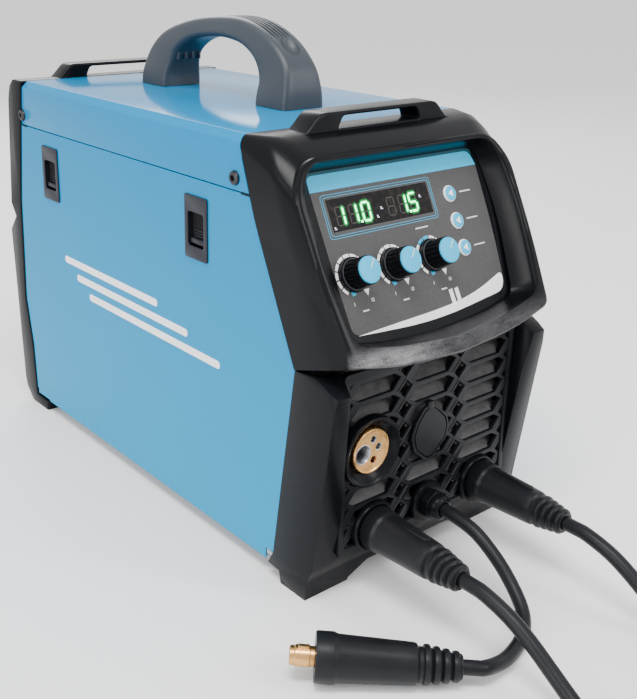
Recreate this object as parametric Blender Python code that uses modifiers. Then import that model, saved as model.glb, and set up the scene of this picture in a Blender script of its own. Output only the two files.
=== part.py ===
"""Portable inverter welding machine for wire and stick welding, with its leads plugged in.

Metres, +Z up, the control panel faces -Y and the side door is on -X. The origin is on
the floor, under the middle of the machine without its leads.
"""
import math

import bmesh
import bpy
from mathutils import Matrix, Vector

# Driving dimensions of the casing
HALF_WIDTH = 0.1025  # outer faces of the sheet steel casing
BEZEL_HALF = 0.1038  # outer faces of the two plastic end bezels
BODY_BOTTOM = 0.0105
ROOF = 0.306
BEZEL_TOP = 0.3062
SKIN = 0.0012
GAP = 0.0003
DOOR_TOP = 0.2681
FRONT_FACE = -0.2185  # front of the grille
BEZEL_WALL = 0.003
LOOP_TOP = 0.3178
SLOT_LOW = 0.3066
SLOT_HIGH = 0.3148

# Edges of the casing seen from the side, as (y, z) from the roof down
FRONT_EDGE = [(-0.1335, ROOF), (-0.1350, 0.2904), (-0.1440, 0.2655), (-0.1926, 0.1628), (-0.1735, 0.0200),
              (-0.1680, BODY_BOTTOM)]
REAR_EDGE = [(0.1775, ROOF), (0.1932, 0.1988), (0.1975, 0.1050), (0.1890, 0.0600), (0.1865, BODY_BOTTOM)]

# Side door: its hinge as (x, z), and its two latches
HINGE = (-0.1008, 0.0123)
HEM_RADIUS = 0.0016
LATCH_Y = (-0.0840, 0.1317)
LATCH_LOW = 0.2109
LATCH_HIGH = 0.2565

# Control panel: a plane that leans back, with its own frame (u across, v up the slope)
PANEL_TILT = math.radians(26.3)
PANEL_TOP = Vector((0.0, -0.1678, 0.2810))
PANEL_THICK = 0.0025
WELL = [(-0.0830, 0.0060), (-0.0905, -0.0080), (-0.0930, -0.0550), (-0.0905, -0.1000), (-0.0860, -0.1140),
        (-0.0500, -0.1190), (0.0, -0.1210), (0.0500, -0.1190), (0.0860, -0.1140), (0.0905, -0.1000),
        (0.0930, -0.0550), (0.0905, -0.0080), (0.0830, 0.0060)]
KNOB_U = (-0.061, -0.024, 0.013)
KNOB_V = -0.067
KNOB_HEIGHT = 0.0185
KNOB_RADIUS = 0.0112
BUTTON_U = 0.0467
BUTTON_V = (-0.0278, -0.0475, -0.0672)
BUTTON_RADIUS = 0.0058
WINDOW_LOW = Vector((-0.0665, -0.0382))
WINDOW_HIGH = Vector((0.0268, -0.0168))

# Sockets on the front, as (x, z)
EURO = (-0.0612, 0.1057)
PORT = (-0.0013, 0.1013)
SOCKET_X = 0.0535
SOCKET_Z = 0.0455
PLUG_FRONT = -0.2225
PLUG_LENGTH = 0.078
LEAD_RADIUS = 0.0050
POLARITY_RADIUS = 0.00475
# Boot of a plug, as (radius, distance from its cable end)
BOOT = [(0.0, 0.0), (0.0078, 0.0), (0.0082, 0.0050), (0.0100, 0.0055), (0.0106, 0.0250), (0.0124, 0.0300),
        (0.0142, 0.0660), (0.0152, 0.0700), (0.0152, 0.0780)]

# Wire feed compartment
BULKHEAD_X = -0.0200
WIRE_X = -0.0612
DRIVE_ROLL = (-0.0850, 0.0918)
DRIVE_ROLL_RADIUS = 0.0150
PRESSURE_ROLL_RADIUS = 0.0110
PRESSURE_ROLL = (-0.0850, DRIVE_ROLL[1] + DRIVE_ROLL_RADIUS + PRESSURE_ROLL_RADIUS + 0.0006)
ARM_PIVOT = (-0.0500, 0.1240)
LEVER_PIVOT = (-0.1200, 0.0920)
LEVER_X = -0.0500
SPOOL = (0.0750, 0.1300)
SPOOL_RADIUS = 0.1000

# Rear end
FAN = (0.0400, 0.1450)
FAN_RADIUS = 0.0500
REAR_PANEL_Y = 0.1985
SWITCH = (0.0480, 0.2450)
MAINS = (0.0480, 0.0480)
GAS = (-0.0600, 0.0600)
REAR_END = 0.2400
ROCKER_REST = math.radians(9)

# Leads that lie on the floor
COIL_MEAN = 0.0540
COIL_HALF = 0.0105
COIL_HEIGHT = 0.0205
EARTH_COIL = Vector((-0.1200, -0.4800))
HOLDER_COIL = Vector((0.1075, -0.4550))
CLAMP_X = -0.0180
CLAMP_REAR = -0.4700
HOLDER_X = 0.0260
HOLDER_REAR = -0.4430
POLARITY_ROUTE = [(0.0, FRONT_FACE - 0.0183, SOCKET_Z), (0.0, -0.2440, SOCKET_Z), (0.0008, -0.2650, 0.0412),
                  (0.0004, -0.2850, 0.0305), (-0.0022, -0.3015, 0.0195), (-0.0088, -0.3165, 0.0105),
                  (-0.0215, -0.3270, 0.0058), (-0.0370, -0.3330, 0.0050), (-0.0550, -0.3370, 0.0072)]
LOOSE_END = Vector((-0.0830, -0.3290, 0.0124))
LOOSE_TIP = Vector((-0.1611, -0.2606, 0.0172))
LOOSE_ALONG = (LOOSE_TIP - LOOSE_END).normalized()
POLARITY_ROUTE += [LOOSE_END - LOOSE_ALONG * 0.0120, LOOSE_END - LOOSE_ALONG * GAP]
EARTH_ROUTE = [(-SOCKET_X, PLUG_FRONT - PLUG_LENGTH - GAP, SOCKET_Z), (-0.0535, -0.3150, SOCKET_Z),
               (-0.0535, -0.3370, 0.0400), (-0.0537, -0.3550, 0.0315), (-0.0545, -0.3730, 0.0210),
               (-0.0560, -0.3910, 0.0115), (-0.0585, -0.4090, 0.0060), (-0.0615, -0.4270, 0.0052),
               (-0.0640, -0.4372, 0.0052)]
HOLDER_ROUTE = [(SOCKET_X, PLUG_FRONT - PLUG_LENGTH - GAP, SOCKET_Z), (0.0535, -0.3150, SOCKET_Z),
                (0.0535, -0.3370, 0.0400), (0.0535, -0.3560, 0.0305), (0.0535, -0.3730, 0.0195),
                (0.0535, -0.3880, 0.0105), (0.0535, -0.4010, 0.0060), (0.0535, -0.4120, 0.0053)]
EARTH_TAIL = [(-0.1200, -0.4260, 0.0150), (-0.0950, -0.4240, 0.0152), (-0.0700, -0.4230, 0.0158),
              (-0.0450, -0.4280, 0.0160), (-0.0260, -0.4410, 0.0150), (CLAMP_X, CLAMP_REAR + 0.0110, 0.0140),
              (CLAMP_X, CLAMP_REAR + GAP, 0.0140)]
HOLDER_TAIL = [(0.1075, -0.4010, 0.0150), (0.0850, -0.3985, 0.0165), (0.0620, -0.3990, 0.0180),
               (0.0430, -0.4050, 0.0180), (0.0310, -0.4160, 0.0168),
               (HOLDER_X, HOLDER_REAR + 0.0110, 0.0158), (HOLDER_X, HOLDER_REAR + GAP, 0.0158)]

ROUND = 20

PARTS = None
CUTTERS = None
MATERIALS = {}

# Frames whose local z is the direction of extrusion
SIDE = Matrix(((0, 0, 1, 0), (1, 0, 0, 0), (0, 1, 0, 0), (0, 0, 0, 1)))  # outline (y, z), along x
FRONT = Matrix(((1, 0, 0, 0), (0, 0, -1, 0), (0, 1, 0, 0), (0, 0, 0, 1)))  # outline (x, z), along -y
FLAT = Matrix.Identity(4)
PANEL = Matrix.Translation(PANEL_TOP) @ Matrix.Rotation(math.pi / 2 - PANEL_TILT, 4, "X")


def clear_scene():
    for obj in list(bpy.data.objects):
        bpy.data.objects.remove(obj, do_unlink=True)


def make_collections():
    global PARTS, CUTTERS
    PARTS = bpy.data.collections.new("welding_machine")
    CUTTERS = bpy.data.collections.new("cutters")
    for collection in (PARTS, CUTTERS):
        bpy.context.scene.collection.children.link(collection)


def finish_of(name):
    """The shared finishes, made on first use."""
    looks = {
        "blue_paint": ((0.045, 0.42, 0.72), 0.25, 0.0),
        "black_plastic": ((0.012, 0.013, 0.015), 0.35, 0.0),
        "black_rubber": ((0.015, 0.016, 0.018), 0.6, 0.0),
        "grey_plastic": ((0.09, 0.10, 0.12), 0.5, 0.0),
        "panel_film": ((0.10, 0.10, 0.095), 0.45, 0.1),
        "light_blue_plastic": ((0.10, 0.50, 0.75), 0.35, 0.0),
        "smoked_window": ((0.01, 0.015, 0.012), 0.1, 0.0),
        "brass": ((0.75, 0.52, 0.30), 0.25, 1.0),
        "steel": ((0.55, 0.56, 0.58), 0.35, 1.0),
        "aluminium": ((0.75, 0.76, 0.78), 0.4, 1.0),
        "circuit_board": ((0.02, 0.18, 0.06), 0.5, 0.0),
    }
    if name not in MATERIALS:
        colour, roughness, metallic = looks[name]
        made = bpy.data.materials.new(name)
        made.use_nodes = True
        shader = made.node_tree.nodes["Principled BSDF"]
        shader.inputs["Base Color"].default_value = (*colour, 1.0)
        shader.inputs["Roughness"].default_value = roughness
        shader.inputs["Metallic"].default_value = metallic
        MATERIALS[name] = made
    return MATERIALS[name]


def add(name, data, finish, matrix=FLAT):
    """A new object: a part when it has a finish, or else a cutter."""
    obj = bpy.data.objects.new(name, data)
    obj.matrix_world = matrix
    if finish:
        data.materials.append(finish_of(finish))
        PARTS.objects.link(obj)
    else:
        obj.hide_render = True
        obj.display_type = "WIRE"
        CUTTERS.objects.link(obj)
    return obj


def as_mesh(obj):
    """The mesh object that takes the place of a curve object, welded and closed."""
    depsgraph = bpy.context.evaluated_depsgraph_get()
    mesh = bpy.data.meshes.new_from_object(obj.evaluated_get(depsgraph))
    work = bmesh.new()
    work.from_mesh(mesh)
    bmesh.ops.remove_doubles(work, verts=work.verts, dist=1e-6)
    bmesh.ops.recalc_face_normals(work, faces=work.faces)
    work.to_mesh(mesh)
    work.free()
    name, matrix, curve = obj.name, obj.matrix_world.copy(), obj.data
    collection = obj.users_collection[0]
    hidden = obj.hide_render
    bpy.data.objects.remove(obj, do_unlink=True)
    bpy.data.curves.remove(curve)
    solid = bpy.data.objects.new(name, mesh)
    solid.matrix_world = matrix
    solid.hide_render = hidden
    solid.display_type = "WIRE" if hidden else "TEXTURED"
    collection.objects.link(solid)
    return solid


def prism(name, outline, frame, low, high, finish=None):
    """A flat outline in a frame's xy plane, extruded along its z from low to high."""
    curve = bpy.data.curves.new(name, "CURVE")
    curve.dimensions = "2D"
    curve.fill_mode = "BOTH"
    curve.extrude = (high - low) / 2
    spline = curve.splines.new("POLY")
    spline.points.add(len(outline) - 1)
    for point, (x, y) in zip(spline.points, outline):
        point.co = (x, y, 0.0, 1.0)
    spline.use_cyclic_u = True
    middle = Matrix.Translation((0, 0, (low + high) / 2))
    return as_mesh(add(name, curve, finish, frame @ middle))


def box(name, low, high, finish=None):
    mesh = bpy.data.meshes.new(name)
    work = bmesh.new()
    bmesh.ops.create_cube(work, size=1.0)
    low, high = Vector(low), Vector(high)
    bmesh.ops.scale(work, vec=high - low, verts=work.verts)
    bmesh.ops.translate(work, vec=(low + high) / 2, verts=work.verts)
    work.to_mesh(mesh)
    work.free()
    return add(name, mesh, finish)


def rod(name, frame, at, radius, low, high, finish=None, sides=ROUND, far_radius=None):
    """A straight round bar along a frame's z axis, standing on its (x, y) point."""
    mesh = bpy.data.meshes.new(name)
    work = bmesh.new()
    far = radius if far_radius is None else far_radius
    bmesh.ops.create_cone(work, cap_ends=True, segments=sides, radius1=radius, radius2=far, depth=high - low)
    work.to_mesh(mesh)
    work.free()
    obj = add(name, mesh, finish, frame @ Matrix.Translation((at[0], at[1], (low + high) / 2)))
    return smooth(obj)


def smooth(obj):
    obj.data.shade_smooth()
    obj.data.set_sharp_from_angle(angle=math.radians(35))
    return obj


def turned(name, profile, frame, at, finish=None, sides=ROUND, closed=False):
    """A turned shape about a frame's z axis; the (radius, height) profile runs down its outer side."""
    mesh = bpy.data.meshes.new(name)
    work = bmesh.new()
    points = [work.verts.new((radius, 0.0, height)) for radius, height in profile]
    for first, second in zip(points, points[1:] + points[:1] if closed else points[1:]):
        work.edges.new((first, second))
    work.to_mesh(mesh)
    work.free()
    obj = add(name, mesh, finish, frame @ Matrix.Translation((at[0], at[1], 0.0)))
    screw = obj.modifiers.new("turn", "SCREW")
    screw.steps = sides
    screw.render_steps = sides
    screw.use_merge_vertices = True
    screw.merge_threshold = 0.00001
    return obj


def cut(target, *cutters, operation="DIFFERENCE"):
    for cutter in cutters:
        modifier = target.modifiers.new(operation.lower(), "BOOLEAN")
        modifier.operation = operation
        modifier.object = cutter
        modifier.solver = "EXACT"
    return target


def join(target, *others):
    return cut(target, *others, operation="UNION")


def shifted(outline, distance):
    """An outline of (y, z) points moved along y."""
    return [(y + distance, z) for y, z in outline]


def edge_at(edge, height):
    """The y of a side-view edge at a height."""
    for (y0, z0), (y1, z1) in zip(edge, edge[1:]):
        if z1 <= height <= z0:
            return y0 + (y1 - y0) * (z0 - height) / (z0 - z1)
    return edge[-1][0] if height < edge[-1][1] else edge[0][0]


def smooth_route(points, spacing):
    """Evenly spaced points on a Catmull-Rom curve through the route's own points.

    The first and the last stretch stay straight, so that each end meets its plug squarely.
    """
    route = [Vector(p) for p in points]
    fine = []
    for a, b, c, d in zip(route, route[1:], route[2:], route[3:]):
        for k in range(24):
            t = k / 24
            square, cube = 2 * a - 5 * b + 4 * c - d, 3 * b - 3 * c + d - a
            fine.append(0.5 * (2 * b + (c - a) * t + square * t * t + cube * t**3))
    fine.append(route[-2])
    lengths = [0.0]
    for first, second in zip(fine, fine[1:]):
        lengths.append(lengths[-1] + (second - first).length)
    count = max(2, round(lengths[-1] / spacing))
    even, index = [], 0
    for k in range(count + 1):
        goal = lengths[-1] * k / count
        while index < len(fine) - 2 and lengths[index + 1] < goal:
            index += 1
        span = lengths[index + 1] - lengths[index]
        even.append(fine[index].lerp(fine[index + 1], min(1.0, max(0.0, (goal - lengths[index]) / span))))
    return [route[0]] + even + [route[-1]]


def tube(name, points, radius, finish):
    """A cord: a round tube along a smooth curve through hand-chosen points."""
    curve = bpy.data.curves.new(name, "CURVE")
    curve.dimensions = "3D"
    curve.bevel_depth = radius
    curve.bevel_resolution = 2
    curve.use_fill_caps = True
    spline = curve.splines.new("POLY")
    route = smooth_route(points, 5 * radius)
    spline.points.add(len(route) - 1)
    for point, place in zip(spline.points, route):
        point.co = (*place, 1.0)
    return add(name, curve, finish)


# ---------------------------------------------------------------- casing


def casing_cover():
    """Blue roof, right side and the fixed strip over the door: one bent sheet."""
    bend = 0.005
    section = [(-HALF_WIDTH, DOOR_TOP + 2 * GAP), (-HALF_WIDTH, FRONT_EDGE[1][1]),
               (-HALF_WIDTH, ROOF - bend), (-HALF_WIDTH + bend, ROOF),
               (HALF_WIDTH - bend, ROOF), (HALF_WIDTH, ROOF - bend)]
    heights = sorted({z for _, z in FRONT_EDGE[1:] + REAR_EDGE[1:]}, reverse=True)
    section += [(HALF_WIDTH, z) for z in heights if z < ROOF - bend]
    mesh = bpy.data.meshes.new("casing_cover")
    work = bmesh.new()
    rows = [
        (work.verts.new((x, edge_at(FRONT_EDGE, z), z)), work.verts.new((x, edge_at(REAR_EDGE, z), z)))
        for x, z in section
    ]
    for (a, b), (c, d) in zip(rows, rows[1:]):
        work.faces.new((a, c, d, b))
    work.normal_update()
    work.to_mesh(mesh)
    work.free()
    cover = add("casing_cover", mesh, "blue_paint")
    sheet = cover.modifiers.new("sheet", "SOLIDIFY")
    sheet.thickness = SKIN
    sheet.offset = -1.0
    sheet.use_even_offset = True
    return cover


def side_door():
    """Blue door of the wire compartment: a rolled hem on its lower edge, corners relieved where it swings."""
    top = DOOR_TOP
    outline = [(edge_at(FRONT_EDGE, top), top)] + [p for p in FRONT_EDGE if p[1] < top]
    outline += [p for p in reversed(REAR_EDGE) if p[1] < top] + [(edge_at(REAR_EDGE, top), top)]
    door = prism("side_door", outline, SIDE, -HALF_WIDTH, -HALF_WIDTH + SKIN, "blue_paint")
    hem_end = -0.1500, 0.1700
    hem = rod("hem", FRONT, HINGE, HEM_RADIUS, -hem_end[1], -hem_end[0], sides=12)
    bore = rod("hem_bore", FRONT, HINGE, HEM_RADIUS - 0.0007, -0.2, 0.2, sides=12)
    low, high = LATCH_LOW + 0.002, LATCH_HIGH - 0.002
    holes = [box("latch_hole", (-0.11, y - 0.0118, low), (-0.09, y + 0.0118, high)) for y in LATCH_Y]
    join(door, hem)
    reliefs = [box("relief", (-0.11, -0.18, 0.0), (-0.09, -0.164, 0.0190)),
               box("relief", (-0.11, 0.185, 0.0), (-0.09, 0.20, 0.0165)),
               box("relief", (-0.11, 0.163, 0.0), (-0.09, 0.20, 0.0118))]
    return cut(door, bore, *holes, *reliefs)


def hinge_rod():
    """The door's pin, lying in its hem between the bezels."""
    rod("hinge_rod", FRONT, HINGE, 0.0008, -0.1862, 0.1680, "steel", sides=10)


def door_latches():
    """Two recessed slide latches in the door: a frame with a pocket, and a slider with a finger pull."""
    for name, y in zip(("front", "rear"), LATCH_Y):
        frame = box(
            f"latch_frame_{name}",
            (-HALF_WIDTH - 0.0013, y - 0.0135, LATCH_LOW), (-HALF_WIDTH - GAP, y + 0.0135, LATCH_HIGH),
            "black_plastic",
        )
        body = box("latch_body", (-0.1030, y - 0.0112, LATCH_LOW + 0.0026),
                   (-0.0960, y + 0.0112, LATCH_HIGH - 0.0026))
        pocket = box("latch_pocket", (-0.1050, y - 0.0090, LATCH_LOW + 0.0050),
                     (-0.0972, y + 0.0090, LATCH_HIGH - 0.0050))
        cut(join(frame, body), pocket)
        slider = box(
            f"latch_slider_{name}",
            (-0.0995, y - 0.0086, LATCH_LOW + 0.0105), (-0.0975, y + 0.0086, LATCH_HIGH - 0.0055),
            "grey_plastic",
        )
        pull = box("latch_pull", (-0.1030, y - 0.0075, LATCH_LOW + 0.0110),
                   (-0.0985, y + 0.0075, LATCH_LOW + 0.0140))
        join(slider, pull)


def base_tray():
    """Steel floor with an upturned flange on each side."""
    front, rear, thick = -0.1660, 0.1850, 0.0015
    low, high = BODY_BOTTOM, BODY_BOTTOM + 0.0150
    left, right = -0.0980, HALF_WIDTH - SKIN - GAP
    section = [(left, low), (right, low), (right, high), (right - thick, high), (right - thick, low + thick),
               (left + thick, low + thick), (left + thick, high), (left, high)]
    return prism("base_tray", section, FRONT, -rear, -front, "steel")


def middle_bulkhead():
    """Upright sheet between the wire compartment and the electronics, with the motor shaft's hole."""
    outline = [(-0.1350, 0.3000), (-0.1850, 0.1700), (-0.1620, 0.0140), (0.1800, 0.0140), (0.1850, 0.0600),
               (0.1850, 0.2200), (0.1720, 0.3000)]
    wall = prism("middle_bulkhead", outline, SIDE, BULKHEAD_X - 0.0015, BULKHEAD_X, "steel")
    hole = rod("shaft_hole", SIDE, DRIVE_ROLL, 0.0056, -0.03, 0.0)
    return cut(wall, hole)


def carry_handle():
    """Fixed arch handle over the roof."""
    foot = ROOF + GAP
    outer = [(0.1200, foot), (0.1170, 0.3200), (0.1060, 0.3400), (0.0850, 0.3530), (0.0500, 0.3630),
             (0.0100, 0.3675), (-0.0250, 0.3680), (-0.0500, 0.3650), (-0.0660, 0.3560), (-0.0745, 0.3400),
             (-0.0768, foot)]
    inner = [(-0.0390, foot), (-0.0400, 0.3300), (-0.0300, 0.3440), (-0.0100, 0.3515), (0.0200, 0.3515),
             (0.0500, 0.3470), (0.0700, 0.3370), (0.0790, 0.3250), (0.0830, foot)]
    grip = prism("carry_handle", outer + inner, SIDE, -0.0195, 0.0195, "grey_plastic")
    edge = grip.modifiers.new("edge", "BEVEL")
    edge.width = 0.0035
    edge.segments = 1
    edge.limit_method = "ANGLE"
    edge.angle_limit = math.radians(60)
    return grip


def bezel_loop(y_low, y_high):
    """The handle loop on top of a bezel, and the slot through it."""
    outline = [(-0.0680, BEZEL_TOP - 0.0015), (-0.0640, 0.3085), (-0.0560, 0.3165), (-0.0525, LOOP_TOP),
               (0.0525, LOOP_TOP), (0.0560, 0.3165), (0.0640, 0.3085), (0.0680, BEZEL_TOP - 0.0015)]
    slot = [(-0.0380, SLOT_LOW), (-0.0345, SLOT_HIGH), (0.0345, SLOT_HIGH), (0.0380, SLOT_LOW)]
    return (
        prism("loop", outline, FRONT, -y_high, -y_low),
        prism("loop_slot", slot, FRONT, -y_high - 0.02, -y_low + 0.02),
    )


def grown(outline, centre, distance):
    """An outline with each point moved away from a centre."""
    middle = Vector(centre)
    return [tuple(Vector(p) + (Vector(p) - middle).normalized() * distance) for p in outline]


def front_bezel():
    """Black moulding around the control panel and the grille, with feet and a handle loop."""
    behind = shifted(FRONT_EDGE, -GAP)
    behind[0] = (behind[0][0], BEZEL_TOP)
    behind[-1] = (behind[-1][0], BODY_BOTTOM - 0.0004)
    ahead = [(-0.1815, 0.0098), (-0.1825, 0.0000), (-0.2085, 0.0000), (-0.2120, 0.0050), (-0.2155, 0.0270),
             (-0.2327, 0.1566), (-0.2175, 0.1650), (-0.2400, 0.1760), (-0.2360, 0.1870), (-0.1803, 0.2926),
             (-0.1560, 0.3050), (-0.1500, BEZEL_TOP)]
    bezel = prism("front_bezel", behind + ahead, SIDE, -BEZEL_HALF, BEZEL_HALF, "black_plastic")
    inside = [(-0.1000, 0.3032), (-0.1550, 0.3032), (-0.1741, 0.2953), (-0.2309, 0.1806), (-0.2135, 0.1700),
              (-0.2130, 0.0130), (-0.1000, 0.0130)]
    hollow = prism("front_hollow", inside, SIDE, -BEZEL_HALF + BEZEL_WALL, BEZEL_HALF - BEZEL_WALL)
    well = prism("panel_well", grown(WELL, (0, -0.055), 0.0025), PANEL, -0.0030, 0.0150)
    opening = prism("panel_opening", WELL, PANEL, -0.02, 0.04)
    window = box("grille_opening", (-0.0940, -0.2600, 0.0300), (0.0940, -0.1900, 0.1640))
    between_feet = box("between_feet", (-0.0640, -0.26, -0.01), (0.0640, -0.15, 0.0098))
    loop, slot = bezel_loop(-0.1560, -0.1360)
    cut(bezel, hollow)
    join(bezel, well, loop)
    cut(bezel, opening, window, between_feet, slot)
    return bezel


def rear_bezel():
    """Black moulding around the rear panel, with feet and a handle loop."""
    ahead = shifted(REAR_EDGE, GAP)
    ahead[0] = (ahead[0][0], BEZEL_TOP)
    ahead[-1] = (ahead[-1][0], BODY_BOTTOM - 0.0004)
    behind = [(0.1640, 0.0098), (0.1660, 0.0000), (0.1960, 0.0000), (0.2085, 0.0120), (0.2107, 0.0200),
              (0.2128, 0.0566), (0.2176, 0.1682), (0.2061, 0.1821), (0.2136, 0.1928), (0.2040, 0.2900),
              (0.2000, 0.3010), (0.1940, BEZEL_TOP)]
    bezel = prism("rear_bezel", ahead + behind, SIDE, -BEZEL_HALF, BEZEL_HALF, "black_plastic")
    inside = [(0.15, 0.0130), (REAR_PANEL_Y + GAP, 0.0130), (REAR_PANEL_Y + GAP, 0.3032), (0.15, 0.3032)]
    hollow = prism("rear_hollow", inside, SIDE, -BEZEL_HALF + BEZEL_WALL, BEZEL_HALF - BEZEL_WALL)
    window = box("rear_opening", (-0.0880, 0.15, 0.0300), (0.0880, 0.25, 0.2800))
    between_feet = box("between_rear_feet", (-0.0640, 0.13, -0.01), (0.0640, 0.25, 0.0098))
    loop, slot = bezel_loop(0.1790, 0.1960)
    cut(bezel, hollow)
    join(bezel, loop)
    return cut(bezel, window, between_feet, slot)


# ---------------------------------------------------------------- front


def leaf(centre, half_width, half_height, lean):
    """A leaf-shaped outline: two arcs that meet in soft points, leaning over."""
    shape = []
    for side in (1, -1):
        for k in range(6):
            t = -1 + 2 * k / 6
            x = side * half_width * (1 - abs(t) ** 2.2)
            z = side * half_height * t
            shape.append((centre[0] + x + lean * z, centre[1] + z))
    return shape


def front_grille():
    """Louvred black plate between the bezel's cheeks, with a hole for each socket."""
    plate = box("front_grille", (-0.0935, FRONT_FACE, 0.0305), (0.0935, FRONT_FACE + 0.004, 0.1635),
                "black_plastic")
    holes = [rod("euro_hole", FRONT, EURO, 0.0217, 0.20, 0.23)]
    holes.append(rod("port_hole", FRONT, PORT, 0.0110, 0.20, 0.23))
    for x in (-SOCKET_X, 0.0, SOCKET_X):
        holes.append(rod("socket_hole", FRONT, (x, SOCKET_Z), 0.0128, 0.20, 0.23))
    rows, columns = 5, 3
    for row in range(rows):
        for column in range(columns):
            x, z = -0.0500 + 0.0520 * column, 0.0800 + 0.0185 * row
            if min(math.hypot(x - cx, z - cz) for cx, cz in (EURO, PORT)) > 0.040:
                holes.append(box("vent", (x - 0.014, -0.23, z - 0.003), (x + 0.014, -0.21, z + 0.003)))
    return cut(plate, *holes)


def euro_connector():
    """Black cup of the torch socket, and the brass block inside it with the wire and contact holes."""
    front = -FRONT_FACE
    cup = [(0.0247, front + 0.0070), (0.0247, front + GAP), (0.0214, front + GAP), (0.0214, front - 0.0140),
           (0.0177, front - 0.0140), (0.0177, front + 0.0020), (0.0205, front + 0.0070)]
    turned("euro_socket_housing", cup, FRONT, EURO, "black_plastic", 24, closed=True)
    brass = rod("euro_connector", FRONT, EURO, 0.0172, front - 0.0280, front + 0.0015, "brass", 24)
    holes = [rod("wire_hole", FRONT, (EURO[0] - 0.0062, EURO[1]), 0.0062, front - 0.0200, 0.25, sides=14)]
    for x, z in ((0.0035, 0.0082), (0.0092, 0.0006), (0.0052, -0.0082)):
        place = EURO[0] + x, EURO[1] + z
        holes.append(rod("contact_hole", FRONT, place, 0.0027, front - 0.0120, 0.25, sides=10))
    return cut(brass, *holes)


def port_cover():
    """Rubber flap over the control port, hinged at its top, with a plug that fills the hole."""
    front = -FRONT_FACE
    outline = leaf(PORT, 0.0172, 0.0225, -0.12)
    flap = prism("port_cover", outline, FRONT, front + GAP, front + 0.0035, "black_rubber")
    plug = rod("port_plug", FRONT, PORT, 0.0095, front - 0.0030, front + 0.0010)
    return join(flap, plug)


def lead_gland():
    """Gland of the polarity lead: a flange with its neck behind, and the hexagon nut in front."""
    front = -FRONT_FACE
    flange = [(0.0, front + 0.0035), (0.0155, front + 0.0035), (0.0155, front + GAP), (0.0125, front + GAP),
              (0.0125, front - 0.0140), (0.0, front - 0.0140)]
    turned("lead_gland", flange, FRONT, (0.0, SOCKET_Z), "black_plastic", ROUND)
    at = 0.0, SOCKET_Z
    nut = rod("gland_nut", FRONT, at, 0.0112, front + 0.0035 + GAP, front + 0.0110, "black_plastic", 6)
    dome = rod("gland_dome", FRONT, at, 0.0098, front + 0.0100, front + 0.0180, far_radius=0.0066)
    return join(nut, dome)


def output_sockets():
    """The two twist-lock output sockets."""
    front = -FRONT_FACE
    for name, x in (("left", -SOCKET_X), ("right", SOCKET_X)):
        body = [(0.0182, front + 0.0037), (0.0182, front + GAP), (0.0125, front + GAP),
                (0.0125, front - 0.0260), (0.0070, front - 0.0260), (0.0070, front + 0.0037)]
        turned(f"output_socket_{name}", body, FRONT, (x, SOCKET_Z), "black_plastic", ROUND, closed=True)


def plugs():
    """Twist-lock plugs in the output sockets: a rubber boot, with the brass pin in the socket's bore."""
    for name, x in (("earth_plug", -SOCKET_X), ("holder_plug", SOCKET_X)):
        tip = -PLUG_FRONT + PLUG_LENGTH
        profile = [(radius, tip - along) for radius, along in BOOT]
        pin = [(0.0065, -PLUG_FRONT), (0.0065, -PLUG_FRONT - 0.0170), (0.0, -PLUG_FRONT - 0.0170)]
        turned(name, profile + pin, FRONT, (x, SOCKET_Z), "black_rubber", ROUND)


def control_panel():
    """Metal panel behind the bezel's opening, its display window and the board behind it."""
    outline = grown(WELL, (0, -0.055), -0.0004)
    panel = prism("control_panel", outline, PANEL, -PANEL_THICK, 0.0, "panel_film")
    low, high = WINDOW_LOW, WINDOW_HIGH
    rectangle = [(low.x, low.y), (high.x, low.y), (high.x, high.y), (low.x, high.y)]
    hole = prism("window_hole", grown(rectangle, (low + high) / 2, 0.0006), PANEL, -0.01, 0.01)
    radius = BUTTON_RADIUS + 0.0004
    button_holes = [rod("button_hole", PANEL, (BUTTON_U, v), radius, -0.01, 0.01) for v in BUTTON_V]
    cut(panel, hole, *button_holes)
    prism("display_window", rectangle, PANEL, -0.0030, -0.0002, "smoked_window")
    board = [(-0.0780, -0.0080), (0.0780, -0.0080), (0.0780, -0.0900), (-0.0780, -0.0900)]
    prism("control_board", board, PANEL, -0.0105, -0.0089, "circuit_board")


def knobs():
    """Three knobs with a skirt, each turning about the panel's normal."""
    for name, u in zip(("left", "middle", "right"), KNOB_U):
        profile = [(0.0, KNOB_HEIGHT), (0.0092, KNOB_HEIGHT), (0.0098, KNOB_HEIGHT - 0.0006),
                   (0.0104, 0.0045), (KNOB_RADIUS, 0.0035), (KNOB_RADIUS, 0.0005), (0.0, 0.0005)]
        frame = PANEL @ Matrix.Translation((u, KNOB_V, 0.0))
        turned(f"knob_{name}", profile, frame, (0.0, 0.0), "black_plastic", 18)


def buttons():
    for name, v in zip(("top", "middle", "bottom"), BUTTON_V):
        frame = PANEL @ Matrix.Translation((BUTTON_U, v, 0.0))
        profile = [(0.0, 0.0018), (0.0048, 0.0018), (BUTTON_RADIUS, 0.0010), (BUTTON_RADIUS, -0.0040),
                   (0.0, -0.0040)]
        turned(f"button_{name}", profile, frame, (0.0, 0.0), "light_blue_plastic", 16)


# ---------------------------------------------------------------- wire compartment


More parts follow.
